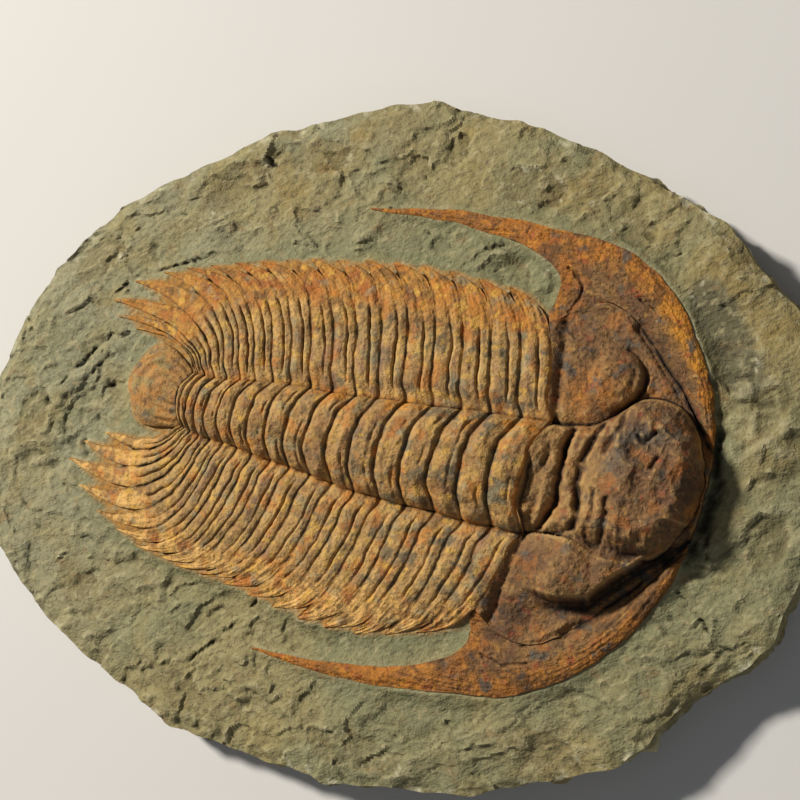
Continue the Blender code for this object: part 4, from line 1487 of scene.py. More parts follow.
    def height(self, u: Field, v: Field, grain: Grain) -> Field:
        """Return the height of the whole cranidium.

        The glabella and the cheek meet in a moat. On the cheek stand the eye lobe, a dome of
        power 3 with a groove and a moat behind it, a fold and a groove along the rear margin, and
        on the right a brow that joins the glabella's crown.

        Args:
            u: Places along the body.
            v: Places across it.
            grain: Noise for the unevenness.

        Returns:
            Height above the bed.
        """
        across = np.abs(v)
        beside = np.abs(v - LIE.midline(u))
        half = HEAD.lobe_half(u)
        away = np.hypot((u - HEAD.eye_u) * 1.08, (across - HEAD.eye_v) * 0.95)
        share = np.clip(away / HEAD.eye_radius, 0.0, 1.0)
        bearing = np.arctan2(across - HEAD.eye_v, u - HEAD.eye_u)
        eye = HEAD.eye_rise * (1.0 - share ** 3.0)
        eye = eye - self.eye_groove * gauss(away - 9.5, 1.7) * smoothstep(-2.0, -0.6, bearing)
        crescent = gauss(away - HEAD.eye_radius, 1.7) * smoothstep(-1.4, -0.3, bearing)
        crescent = crescent * smoothstep(2.0, 0.9, bearing)
        right = smoothstep(5.0, -5.0, v)
        moat = HEAD.moat_depth * gauss(np.maximum(beside - half, 0.0), HEAD.moat_breadth)
        cheek = HEAD.cheek_height(u, across) + eye * (1.0 - 0.35 * right) - moat * (1.0 - 0.6 * right)
        cheek = np.maximum(cheek, HEAD.lobe_floor - HEAD.moat_depth / 2.0)
        brow_u, brow_v = np.array(self.brow).T
        inside = np.interp(u, brow_u, brow_v) - across
        ledge = self.brow_height + self.brow_climb * smoothstep(114.0, 130.0, u)
        ledge = ledge * smoothstep(159.0, 148.0, u)
        cheek = cheek + ledge * right * smoothstep(0.0, 4.5, inside) * smoothstep(84.0, 104.0, u)
        cheek = cheek - 2.5 * right * gauss(inside + 2.5, 3.0) * smoothstep(92.0, 104.0, u)
        cheek = cheek - self.eye_moat * crescent * (1.0 - right)
        cheek = cheek - HEAD.seam(u, across)[0] * (1.0 - 0.5 * right)
        rear = u - 69.0 - 0.16 * (70.0 - across)
        cheek = cheek + self.rear_fold * gauss(rear - 1.0, 2.6)
        cheek = cheek - self.rear_groove * gauss(rear - 6.6, 2.0)
        cheek = cheek + self.ridge_height * gauss(path_distance(u, across, self.cheek_ridge), 1.5)
        lobe = self.glabella(u, v, grain)
        joined = cheek - 0.8 - 3.0 * smoothstep(112.0, 98.0, u)
        lobe = lobe + (np.maximum(lobe, joined) - lobe) * right * smoothstep(90.0, 104.0, u)
        height = np.where(beside < half, lobe, cheek)
        return np.maximum(height, LIE.edge)

    def sheet(self, grain: Grain) -> Sheet:
        """Work out the upper side of the cranidium and its traits.

        Args:
            grain: Noise for the unevenness.

        Returns:
            The upper side.
        """
        u, v = self.grid()
        x, y = LIE.lay(u, v, grain, HEAD.lean)
        height = self.height(u, v, grain)
        height[-1, :] = LIE.edge
        row = np.linspace(0.0, 1.0, self.rows)[:, None]
        column = np.linspace(-1.0, 1.0, self.columns)[None, :]
        inner = np.minimum(np.minimum(row, 1.0 - row) / 0.02, (1.0 - np.abs(column)) / 0.02)
        inner = np.minimum(inner, 1.0)
        beside = np.abs(v - LIE.midline(u)) / np.maximum(HEAD.lobe_half(u), 1.0)
        on_lobe = smoothstep(1.05, 0.9, beside)
        lumps = 1.1 * grain.layers(x, y, 17.0, 3, 0.6)
        lumps = lumps + 4.6 * (grain.flakes(0.8 * x, y, 18.0, 1.1) - 0.3)
        lumps = lumps + 1.3 * (grain.flakes(x, y + 50.0, 6.5, 0.9) - 0.3)
        wrinkles = 1.2 * (grain.ridges(1.6 * x, 0.7 * y, 12.0) - 0.5)
        rough = (lumps + wrinkles) * on_lobe + 0.5 * grain.layers(x, y, 9.0, 3)
        rough = rough + 0.4 * grain.layers(x, y, 3.4, 4, 0.62)
        rough = rough + 1.2 * (1.0 - on_lobe) * (grain.flakes(x, y + 90.0, 9.0, 0.9) - 0.3)
        top = HEAD.front_height - 0.1
        below = top - height - (rough - 1.9 * on_lobe) * inner
        below = np.logaddexp(0.0, below / self.blunt) * self.blunt
        z = LIE.floor + np.maximum(top - below, LIE.edge)
        sheet = Sheet(x, y, z)
        shaded_hollow = sheet.hollows(4)
        seam = HEAD.seam(u, np.abs(v))[1] * smoothstep(-0.7, 0.1, grain.layers(x, y, 9.0, 2))
        line = gauss(path_distance(u + 0.8 * grain.layers(x, y, 4.0, 2), v, self.crack_and_shade), 0.6)
        brow_u, brow_v = np.array(self.brow).T
        # Painted shadow along the foot of the right brow, where the high glabella and brow throw their
        # shadow onto the cheek
        under = np.abs(np.interp(u, brow_u, brow_v) + v + 2.0) + 1.2 * grain.layers(x, y, 6.0, 2)
        under = gauss(under, 2.8) * smoothstep(3.0, -3.0, v) * smoothstep(94.0, 110.0, u)
        sheet.traits = HEAD.tints(u, v, x, y, grain)
        # Black along the seam and the crack, with painted shade in the deepest hollows and under the brow
        crack_and_shade = smoothstep(1.3, 2.8, shaded_hollow) + seam + 0.8 * line + 0.9 * under
        sheet.traits["crack_and_shade"] = np.clip(crack_and_shade, 0.0, 1.0)
        # Painted shade in the hollows, painted highlight on the crests
        sheet.traits["shaded_hollow"] = smoothstep(0.1, 1.1, shaded_hollow)
        sheet.traits["crown"] = smoothstep(0.15, 1.0, -shaded_hollow)
        return sheet


@dataclass
class FreeCheek:
    """The outer part of the head shield with its long genal spine, on one side."""

    side: Side
    rows: int = 430
    columns: int = 84
    border_groove: float = 1.5
    # Cracks on both sides: path, breadth, depth
    cracks: tuple[tuple[Path, float, float], ...] = (
        (((69, 100), (75, 96), (78, 91), (77, 86), (75, 81)), 0.8, 1.6),
        (((109, 90), (112, 89), (116, 87)), 0.9, 1.5),
        (((94, -87), (104, -83), (111, -78), (116, -70)), 1, 1.8),
        (((75, -96), (88, -99), (99, -96)), 0.8, 1.2),
    )

    @property
    def name(self) -> str:
        """Name of the piece."""
        return f"cheek_and_spine_{self.side.name.lower()}"

    @property
    def node(self) -> str:
        """Name of the CAD node that it stands for."""
        return f"free_cheek_{self.side.name.lower()}"

    def grid(self) -> tuple[Field, Field, Field, Field]:
        """Return the cross-sections from the spine's tip forward.

        The inner edge runs up the spine, round the corner and along the suture. The outer edge
        keeps level with it down the spine and then shares out the margin's ellipse by angle.

        Returns:
            u, v, u of each section's outer end, and each section's width.
        """
        inner = np.array(HEAD.spine_inner)
        suture_u, suture_v = HEAD.suture_curve()
        line_v = suture_v + 0.5 * LIE.joint_gap
        corner = len(inner) - 1
        last = corner + len(suture_u)
        at = np.linspace(0.0, last, self.rows)
        spine_knots, suture_knots = np.arange(len(inner)), corner + 1 + np.arange(len(suture_u))
        turn = np.clip(at - corner, 0.0, 1.0)
        inner_u = smooth_read(spine_knots, inner[:, 0], at) * (1.0 - turn)
        inner_u = inner_u + smooth_read(suture_knots, suture_u, at) * turn
        inner_v = smooth_read(spine_knots, inner[:, 1], at) * (1.0 - turn)
        inner_v = inner_v + smooth_read(suture_knots, line_v, at) * turn
        start_u = inner[HEAD.spine_rows, 0]
        angle_start = math.asin((start_u - HEAD.centre) / HEAD.length)
        angle_end = math.acos((line_v[-1] + 2.0 * LIE.joint_gap) / HEAD.half_width)
        share = np.clip((at - HEAD.spine_rows) / (last - HEAD.spine_rows), 0.0, 1.0)
        shared_u = HEAD.centre + HEAD.length * np.sin(angle_start + (angle_end - angle_start) * share)
        outer_u = np.where(at <= HEAD.spine_rows, inner_u, shared_u)
        outer_v = HEAD.outer(outer_u)
        column = np.linspace(0.0, 1.0, self.columns)[None, :]
        u = inner_u[:, None] * (1.0 - column) + outer_u[:, None] * column
        v = inner_v[:, None] * (1.0 - column) + outer_v[:, None] * column
        width = np.hypot(outer_u - inner_u, outer_v - inner_v)[:, None]
        return u, v, outer_u[:, None], width

    def sheet(self, grain: Grain) -> Sheet:
        """Work out the upper side of the cheek and its traits.

        The border is crowned and the spine is a low ridge, and between the two heights the share
        runs as an S along the outer margin. Fine streaks of noise follow the margin.

        Args:
            grain: Noise for the unevenness.

        Returns:
            The upper side.
        """
        u, v, outer_u, width = self.grid()
        column = np.linspace(0.0, 1.0, self.columns)[None, :]
        own_v = self.side.value * v
        x, y = LIE.lay(u, own_v, grain, HEAD.lean)
        inward, border = HEAD.inward(u, v)
        beside = np.abs(own_v - LIE.midline(u))
        moat = HEAD.moat_depth * gauss(np.maximum(beside - HEAD.lobe_half(u), 0.0), HEAD.moat_breadth)
        groove = gauss(inward - border + 1.0, 2.0) * smoothstep(66.0, 100.0, u)
        cut, line = HEAD.seam(u, v)
        height = HEAD.cheek_height(u, v) - moat - self.border_groove * groove - cut
        spine = 1.0 - smoothstep(*HEAD.spine_merge, outer_u)
        ridge = LIE.edge + HEAD.spine_ridge * width * np.sin(math.pi * column)
        height = height * (1.0 - spine) + ridge * spine
        flow = grain.layers(inward / 1.9, (u - self.side.value * 60.0) / 26.0, 1.0, 3, 0.6, z=120.0)
        rough = 0.45 * grain.layers(x, y, 10.0, 3) + 0.32 * grain.layers(x, y, 3.2, 4, 0.6) + 0.34 * flow
        wander = 0.8 * grain.layers(x, y, 4.0, 2, z=9.0)
        for path, breadth, depth in self.cracks:
            rough = rough - depth * gauss(path_distance(u + wander, own_v + wander, path), breadth)
        inner = np.minimum(np.minimum(column, 1.0 - column) * width / 1.2, 1.0)
        height = np.maximum(height + rough * inner, LIE.edge)
        sheet = Sheet(x, y, LIE.floor + height)
        shaded_hollow = sheet.hollows(3)
        seam = line * smoothstep(-0.7, 0.1, grain.layers(x, y, 9.0, 2))
        sheet.traits = HEAD.tints(u, own_v, x, y, grain)
        # Black along the seam with painted shade in the deepest hollows, then painted shade in all
        # hollows and a painted highlight on the crests
        sheet.traits["crack_and_shade"] = np.clip(smoothstep(0.7, 1.6, shaded_hollow) + seam, 0.0, 1.0)
        sheet.traits["shaded_hollow"] = smoothstep(0.1, 1.0, shaded_hollow)
        sheet.traits["crown"] = smoothstep(0.12, 0.8, -shaded_hollow)
        return sheet


# Rock


@dataclass
class MatrixSlab:
    """The oval slab: hackly ground round the plates, a chipped rim, a bedded side, a flat foot."""

    name: str = "siltstone_slab"
    node: str = "matrix_slab"
    rim_drop: float = 5.0
    rim_sag: float = 1.6
    waist_height: float = 15.0
    waist_outset: float = 1.012
    foot_inset: float = 0.955
    side_roughness: float = 2.2
    roughness_seed: int = 18
    bed_half_length: float = 186.0
    bed_half_width: float = 131.0
    bed_power: float = 2.4
    bed_centre: float = -8.0
    fall_shares: tuple[float, float] = (1.0, 1.5)
    swell_shares: tuple[float, float] = (1.08, 1.20)
    span_points: int = 16
    hidden_half: tuple[float, float] = (118.0, 64.0)
    hidden_rings: int = 4
    top_rings: int = 94
    side_rings: int = 16
    rim_smooth: int = 3
    sunk: float = 1.4
    # Height and size of the ground's swell, scoops, flakes and hackle, from broad to fine
    swell: tuple[float, float] = (1.0, 48.0)
    scoop: tuple[float, float] = (3.8, 27.0)
    flake: tuple[float, float] = (2.0, 11.0)
    hackle: tuple[float, float] = (1.0, 5.4)
    bed_step: float = 1.5
    bed_riser: float = 0.08
    moat_depth: float = 5.0
    moat_breadth: float = 4.6
    chip_depth: float = 2.0
    # Corners of the rim: bearing in degrees, reach
    corners: Path = (
        (3, 237), (15, 233), (25, 223), (30, 214), (36, 210), (39, 209), (46, 198), (52, 192),
        (61, 186), (71, 181), (75, 180), (84, 178), (90, 181), (98, 178), (104, 175), (114, 175),
        (120, 179), (127, 179), (134, 182), (142, 191), (149, 201), (156, 208), (163, 216),
        (169, 222), (175, 223), (181, 231), (189, 239), (197, 238), (205, 227), (210, 221),
        (217, 214), (226, 202), (232, 196), (238, 191), (244, 191), (249, 185), (255, 181),
        (262, 179), (269, 177), (273, 181), (279, 179), (289, 183), (297, 190), (303, 191),
        (310, 198), (318, 208), (323, 209), (328, 207), (333, 212), (339, 222), (343, 227),
        (350, 226),
    )
    # Swells and dips of the ground near the rim: x, y, breadth, rise
    swells: tuple[tuple[float, float, float, float], ...] = (
        (150, 118, 30, 3.4), (60, 158, 34, 3), (-40, 158, 36, 2.2),
        (-130, 112, 30, 2.4), (-214, 30, 24, 2.6), (-206, -60, 26, 2),
        (-110, -146, 30, -3.2), (-10, -168, 34, 2.2), (100, -150, 28, -2),
        (196, -52, 24, 3.2), (214, 34, 22, -2.4),
    )
    # Trench cut round the nose
    moat: Path = ((165, 48), (172.5, 27), (176.5, 4), (175, -17), (168, -34))
    # Cracks: their line, breadth and depth
    cracks: tuple[tuple[Path, float, float], ...] = (
        (((-45, -96), (-52, -108), (-59, -115), (-70, -127), (-78, -138)), 1, 1.8),
        (((-163, 54), (-158, 60), (-151, 67), (-140, 69), (-130, 74), (-117, 78)), 0.9, 1.9),
        (((169, -50), (178, -60), (182, -62), (186, -66)), 0.9, 1.8),
        (((177, -19), (178, -26), (180, -32)), 1.4, 2.6),
        (((9, 106), (20, 114)), 0.8, 1.2),
        (((45, 103), (54, 108), (63, 109)), 1, 1.8),
        (((-195, -13), (-180, 8), (-161, 30), (-151, 31)), 1.2, 2),
        (((-184, -10), (-170, 2), (-160, 22)), 1, 1.4),
        (((185, -73), (194, -72), (202, -74)), 0.8, 1),
        (((-90, 139), (-85, 134)), 1.3, 2),
        (((-14, 112), (-12, 118)), 1, 1.4),
    )
    # Pits: x, y, radius, depth
    pits: tuple[tuple[float, float, float, float], ...] = (
        (-107, 94, 2.6, 1.6), (-101, 99, 2, 1.2), (-87, 96, 1.7, 1.8),
        (-155, 79, 1.4, 1.5), (-157, 2, 2.8, 2.8), (-161, -17, 2, 2.2),
        (-165, -32, 1.8, 2.2), (-162, -37, 1.8, 2), (-14, 115, 1.4, 1.2),
        (156, -88, 3, 0.9), (166, -94, 3, 0.9),
    )
    # Lumps: x, y, radius, height
    lumps: tuple[tuple[float, float, float, float], ...] = (
        (74, 90, 8, 2.2), (183, 50, 7, 2.2), (186, 34, 11, 2.6),
        (200, 20, 13, 2), (178, 20, 8, 1.4), (-17, 128, 9, 1.4),
    )
    # Flat scars of flakes: x, y, half-length, half-width, turn in degrees, depth
    scars: tuple[tuple[float, float, float, float, float, float], ...] = (
        (15, 153, 11, 6, 70, 1.6), (-5, 138, 12, 8, 55, 1.3),
        (170, 74, 27, 13, -58, 1.4), (-60, 142, 20, 9, 10, 1.2),
        (-105, 122, 22, 12, 40, 1.2), (60, 138, 18, 10, -8, 1.3),
        (110, 128, 20, 11, -30, 1.4), (205, -20, 16, 10, 80, 1.3),
        (190, -95, 16, 9, -50, 1.2), (120, -140, 22, 9, -25, 1.5),
        (20, -160, 26, 9, -5, 1.2), (-80, -150, 24, 9, -25, 1.2),
        (-150, -110, 20, 11, -45, 1.2), (-200, -20, 14, 10, 80, 1.3),
        (-180, 70, 18, 10, 50, 1.2),
    )
    # Lines of the iron-stained bands and of the dark split by the left cheek
    iron_bands: tuple[Path, ...] = (
        ((-75, 125), (-35, 150), (20, 160), (80, 140), (130, 125)),
        ((160, 112), (196, 70), (205, 30)),
    )
    slate: Path = ((158, 92), (172, 74), (183, 56))

    def rim(self) -> tuple[Field, Field, Field]:
        """Return the points round the rim: shallow scallops between corners that a mean blunts.

        Returns:
            x, y and the place of each point in the row of corners.
        """
        corners = np.array(self.corners, dtype=float)
        bearing = np.radians(corners[:, 0])
        x = corners[:, 1] * np.cos(bearing)
        y = corners[:, 1] * np.sin(bearing)
        share = np.arange(self.span_points)[None, :] / self.span_points
        line_x = x[:, None] * (1.0 - share) + np.roll(x, -1)[:, None] * share
        line_y = y[:, None] * (1.0 - share) + np.roll(y, -1)[:, None] * share
        reach = np.hypot(line_x, line_y)
        inset = 1.0 - 4.0 * self.rim_sag * share * (1.0 - share) / reach
        place = np.arange(len(corners))[:, None] + share
        whole_x, whole_y = (line_x * inset).ravel(), (line_y * inset).ravel()
        shifts = range(-self.rim_smooth, self.rim_smooth + 1)
        smooth_x = np.mean([np.roll(whole_x, shift) for shift in shifts], axis=0)
        smooth_y = np.mean([np.roll(whole_y, shift) for shift in shifts], axis=0)
        return smooth_x, smooth_y, place.ravel()

    def base_height(self, x: Field, y: Field) -> Field:
        """Return the CAD slab's ground: a flat bed, and rolling ground that falls to the rim.

        Args:
            x: World x.
            y: World y.

        Returns:
            The bed's height, less an S of a superellipse's radius, plus a bell for each swell.
        """
        u = x - LIE.x - self.bed_centre
        v = y - LIE.y
        power = self.bed_power
        out = np.abs(u / self.bed_half_length) ** power + np.abs(v / self.bed_half_width) ** power
        out = out ** (1.0 / power)
        height = LIE.bed - self.rim_drop * smoothstep(*self.fall_shares, out)
        clear = smoothstep(*self.swell_shares, out)
        for swell_x, swell_y, breadth, rise in self.swells:
            height = height + rise * gauss(np.hypot(x - swell_x, y - swell_y), breadth) * clear
        return height

    def ground(self, x: Field, y: Field, near: Field, around: Field, under: Field, rim_way: Field,
               grain: Grain) -> tuple[Field, Field, Field, Field]:
        """Return the hackly upper side of the rock.

        On the rolling ground lie a broad swell, terraces of split beds, scoops of the chisel,
        and lumps, pits, scars and cracks at their places, whose lines noise bends. Close to a
        plate the rock is smoother and rises to its edge, and under one it is sunk out of sight.

        Args:
            x: World x.
            y: World y.
            near: How close a plate is, 0 to 1.
            around: The same over a wider strip, where the rock comes up flush with the plates.
            under: How far under a plate the point lies, 0 to 1.
            rim_way: Way in from the rim in millimetres.
            grain: Noise.

        Returns:
            The height, how black cracks and pits are with the painted shadow in the trench round the
            nose, the freshness of chips and where a flake came off.
        """
        calm = 1.0 - 0.8 * smoothstep(0.02, 0.40, near)
        height = self.base_height(x, y)
        high, size = self.swell
        height = height + high * grain.layers(x, y, size, 2) * calm
        bent_x = x + 7.0 * grain.layers(x, y, 26.0, 3, z=31.0)
        bent_y = y + 7.0 * grain.layers(x, y, 26.0, 3, z=37.0)
        along, beside = 0.85 * bent_x + 0.53 * bent_y, 0.85 * bent_y - 0.53 * bent_x
        patchy = smoothstep(-0.5, 0.4, grain.layers(x, y, 60.0, 2, z=43.0))
        high, size = self.scoop
        bowls = grain.flakes(0.55 * along, beside, size) - 0.25
        height = height + high * bowls * calm * (0.5 + 0.5 * patchy)
        high, size = self.flake
        bowls = grain.flakes(along + 90.0, 1.5 * beside, size, 0.9) - 0.25
        height = height + high * bowls * calm * (0.15 + 0.85 * patchy)
        high, size = self.hackle
        bowls = grain.flakes(0.8 * bent_x, bent_y, size, 1.0) - 0.25
        rugged = smoothstep(0.0, 0.6, grain.layers(x, y, 34.0, 3, z=47.0))
        height = height + high * bowls * calm * rugged
        beds = 3.2 * grain.layers(0.8 * along, 1.3 * beside, 46.0, 4, 0.5, z=3.0)
        height = height + terraces(beds, self.bed_step, self.bed_riser) * 0.9 * calm
        height = height + 0.30 * grain.layers(x, y, 5.5, 4, 0.65) * (0.4 + 0.6 * calm)
        height = height + 0.30 * grain.layers(along * 0.2, beside, 3.0, 2) * calm
        wander_x = x + 1.7 * grain.layers(x, y, 7.0, 3, 0.7, z=9.0)
        wander_y = y + 1.7 * grain.layers(x, y, 7.0, 3, 0.7, z=14.0)
        flush = LIE.floor + LIE.edge - 0.6
        height = height + (flush - height) * 0.8 * smoothstep(0.02, 0.42, around)
        moat = path_distance(wander_x, wander_y, self.moat)
        height = height - self.moat_depth * gauss(moat, self.moat_breadth)
        chip = np.zeros_like(height)
        scar = np.zeros_like(height)
        ragged = 0.22 * grain.layers(x, y, 12.0, 3, 0.6, z=25.0)
        fresh = smoothstep(0.2, 0.6, grain.layers(x, y, 9.0, 2, z=5.0))
        for scar_x, scar_y, long, wide, turn, depth in self.scars:
            cos, sin = math.cos(math.radians(turn)), math.sin(math.radians(turn))
            along = ((wander_x - scar_x) * cos + (wander_y - scar_y) * sin) / long
            beside = ((wander_y - scar_y) * cos - (wander_x - scar_x) * sin) / wide
            radius = np.hypot(along, beside) + ragged
            height = height - 1.5 * depth * (1.0 - smoothstep(0.9, 1.0, radius)) * (0.6 + 0.4 * along)
            scar = np.maximum(scar, 1.0 - smoothstep(0.9, 1.02, radius))
            chip = np.maximum(chip, 0.7 * gauss(radius - 0.98, 0.035) * fresh)
        for lump_x, lump_y, radius, rise in self.lumps:
            away = np.hypot(wander_x - lump_x, wander_y - lump_y) / radius
            height = height + rise * (1.0 - smoothstep(0.55, 1.0, away)) * calm
        # Painted shadow: black in the trench round the nose, where the glabella's shadow falls, broken by
        # noise
        crack_and_shade = 0.85 * gauss(moat, 4.2) * smoothstep(-0.8, 0.0, grain.layers(x, y, 9.0, 3, z=55.0))
        for pit_x, pit_y, radius, depth in self.pits:
            hole = gauss(np.hypot(wander_x - pit_x, wander_y - pit_y), radius)
            height = height - depth * hole
            crack_and_shade = np.maximum(crack_and_shade, hole * smoothstep(1.2, 2.4, depth))
        whole = smoothstep(-0.35, 0.15, grain.layers(x, y, 10.0, 2, z=20.0))
        for path, breadth, depth in self.cracks:
            line = gauss(path_distance(wander_x, wander_y, path), 0.8 * breadth) * whole
            height = height - depth * line
            crack_and_shade = np.maximum(crack_and_shade, line)
        chips = smoothstep(9.0, 0.0, rim_way + 3.5 * grain.layers(x, y, 12.0, 3, z=30.0))
        height = height - self.chip_depth * chips ** 1.5
        fresh = smoothstep(0.25, 0.6, grain.layers(x, y, 7.0, 2, z=40.0))
        chip = np.maximum(chip, 0.6 * smoothstep(0.5, 0.95, chips) * fresh)
        level = LIE.floor + LIE.edge - 0.15 + 0.22 * grain.layers(x, y, 6.0, 3)
        trench = gauss(moat, 7.0)
        height = height + (level - height) * smoothstep(0.02 + 0.30 * trench, 0.42 + 0.20 * trench, near)
        sunk = LIE.bed - self.sunk
        height = height * (1.0 - under) + sunk * under
        return height, crack_and_shade, chip, scar

    def build(self, cover: Cover, spines: Cover, grain: Grain,
              finish: bpy.types.Material) -> bpy.types.Object:
        """Make the slab as closed rings: centre, hidden ground, shown ground, side and foot.

        Args:
            cover: Where plates lie.
            spines: Where the thorax and the tail shield lie, whose iron stains the rock.
            grain: Noise.
            finish: Its material.

        Returns:
            The closed piece.
        """
        rim_x, rim_y, place = self.rim()
        columns = len(rim_x)
        bearing = np.arctan2(rim_y, rim_x)
        half_x, half_y = self.hidden_half
        hidden = 1.0 / np.hypot(np.cos(bearing) / half_x, np.sin(bearing) / half_y)
        reach = np.hypot(rim_x, rim_y)
        inner_x, inner_y = rim_x * hidden / reach, rim_y * hidden / reach
        inner_share = (np.arange(self.hidden_rings) + 1.0)[:, None] / (self.hidden_rings + 1.0)
        shown = np.linspace(0.0, 1.0, self.top_rings)[:, None]
        x = np.concatenate([inner_x * inner_share, inner_x + (rim_x - inner_x) * shown])
        y = np.concatenate([inner_y * inner_share, inner_y + (rim_y - inner_y) * shown])
        ring_way = np.concatenate([np.zeros_like(inner_share), shown])
        rim_way = (1.0 - ring_way) * (reach - hidden)
        near = cover.read(cover.blurred(3.0), x, y)
        under = smoothstep(0.93, 0.995, cover.read(cover.blurred(2.0), x, y))
        around = cover.read(cover.blurred(9.0), x, y)
        z, crack_and_shade, chip, scar = self.ground(x, y, near, around, under, rim_way, grain)
        top = Sheet(x, y, z)
        shaded_hollow = top.hollows(3)
        wide = cover.read(cover.blurred(14.0), x, y)
        slate_way = path_distance(x + 4.0 * grain.layers(x, y, 9.0, 2), y, self.slate)
        traits = {
            "crack_and_shade": crack_and_shade,
            "chip": chip,
            "scar": scar,
            # Painted shade in the hollows and a painted highlight on the crests
            "shaded_hollow": smoothstep(0.25, 1.5, shaded_hollow),
            "crown": smoothstep(0.3, 1.4, -shaded_hollow) * 0.8,
            "ochre": self.ochre(x, y, grain),
            "green": smoothstep(0.05, 0.4, wide),
            "grey": smoothstep(-20.0, -170.0, x - 0.4 * y),
            "apron": smoothstep(0.22, 0.55, spines.read(spines.blurred(4.0), x, y)),
            "slate": smoothstep(13.0, 8.0, slate_way),
        }
        side_x, side_y, side_z, side_traits = self.side(rim_x, rim_y, z[-1], place, grain)
        x = np.concatenate([x, side_x])
        y = np.concatenate([y, side_y])
        z = np.concatenate([z, side_z])
        rings = len(x)
        points = np.stack([x, y, z], axis=-1).reshape(-1, 3)
        points = np.concatenate([points, [[0.0, 0.0, LIE.bed - self.sunk]]])
        index = np.arange(rings * columns).reshape(rings, columns)
        after = np.roll(index, -1, axis=1)
        quads = np.stack([index[:-1], index[1:], after[1:], after[:-1]], axis=-1).reshape(-1, 4)
        centre = np.full(columns, rings * columns)
        fan = np.stack([centre, index[0], after[0]], axis=-1)
        foot = index[-1][::-1]
        blank = np.zeros_like(side_z)
        whole = {key: np.concatenate([value.ravel(), side_traits.get(key, blank).ravel(), [0.0]])
                 for key, value in traits.items()}
        return fill_mesh(self.name, points, quads, [fan, foot], whole, finish, ROCK_CREASE)

    def ochre(self, x: Field, y: Field, grain: Grain) -> Field:
        """Return where iron has weathered out, in bands along the left rim and by the head.

        Args:
            x: World x.
            y: World y.
            grain: Noise that breaks the bands up.

        Returns:
            A bell across the nearest band, in patches.
        """
        way = np.minimum(*(path_distance(x, y, band) for band in self.iron_bands))
        return gauss(way, 24.0) * smoothstep(-0.6, 0.5, grain.layers(x, y, 30.0, 3, z=50.0))

    def side(self, rim_x: Field, rim_y: Field, rim_z: Field, place: Field,
             grain: Grain) -> tuple[Field, Field, Field, dict[str, Field]]:
        """Return the rings from below the rim to the foot.

        The side swells to a waist and draws in to the foot, with the same uneven columns as the
        CAD slab between them. Beds of rock step in and out of it, never beyond that swell.

        Args:
            rim_x: x of the rim.
            rim_y: y of the rim.
            rim_z: Height of the rim.
            place: Place of each column in the row of corners.
            grain: Noise.

        Returns:
            x, y, z of the rings and their traits.
        """
        count = 2 * len(self.corners)
        rng = np.random.default_rng(self.roughness_seed)
        rough = rng.uniform(-self.side_roughness, self.side_roughness, count)
        waist_rough = rng.uniform(-self.side_roughness, self.side_roughness, count)
        knots = np.arange(count + 1) * 0.5

        def around(values: Field) -> Field:
            """Read a value between the CAD columns, closed round the rim."""
            return np.interp(place, knots, np.append(values, values[0]))

        reach = np.hypot(rim_x, rim_y)
        waist = self.waist_outset + around(rough) / reach
        waist_z = self.waist_height + around(waist_rough)
        foot = self.foot_inset + around(np.roll(rough, 3)) / reach
        share = (np.arange(self.side_rings) + 1.0)[:, None] / self.side_rings
        upper = np.clip(share / 0.5, 0.0, 1.0)
        lower = np.clip((share - 0.5) / 0.5, 0.0, 1.0)
        scale = (1.0 + (waist - 1.0) * upper) + (foot - waist) * lower
        z = rim_z + (waist_z - rim_z) * upper - waist_z * lower
        beds = grain.layers(rim_x * 0.3, rim_y * 0.3, 9.0, 3, 0.6, z=z * 2.2)
        wall = grain.layers(rim_x, rim_y, 14.0, 3, 0.6, z=z * 2.0)
        scoops = np.abs(grain.layers(rim_x, rim_y + 80.0, 17.0, 3, 0.6, z=z * 1.5))
        bite = 0.6 + 0.9 * beds + 1.2 * wall + 3.2 * scoops
        bite = np.maximum(bite, 0.0) * (1.0 - smoothstep(0.97, 1.0, share))
        scale = scale - bite / reach
        traits = {
            # Black where a bed is bitten in deepest, painted shade where it is bitten in and a painted
            # highlight where it stands out
            "crack_and_shade": smoothstep(1.1, 1.8, beds),
            "chip": 0.5 * smoothstep(0.5, 0.9, -beds),
            "shaded_hollow": smoothstep(0.2, 1.2, beds),
            "crown": smoothstep(0.2, 1.0, -beds),
            "ochre": smoothstep(0.2, 0.8, wall),
            "grey": np.broadcast_to(0.5 * smoothstep(-20.0, -170.0, rim_x), z.shape),
            "slate": 0.6 * smoothstep(0.0, 0.8, -wall),
        }
        return rim_x * scale, rim_y * scale, z, traits


# Studio


@dataclass(frozen=True)
class Lamp:
    """A soft square light.

    Its bearing from +X and height above the horizon are in degrees, its way from the target and
    its side in millimetres, and its power in watts.
    """

    name: str
    bearing: float
    elevation: float
    distance: float
    size: float
    power: float
    colour: str


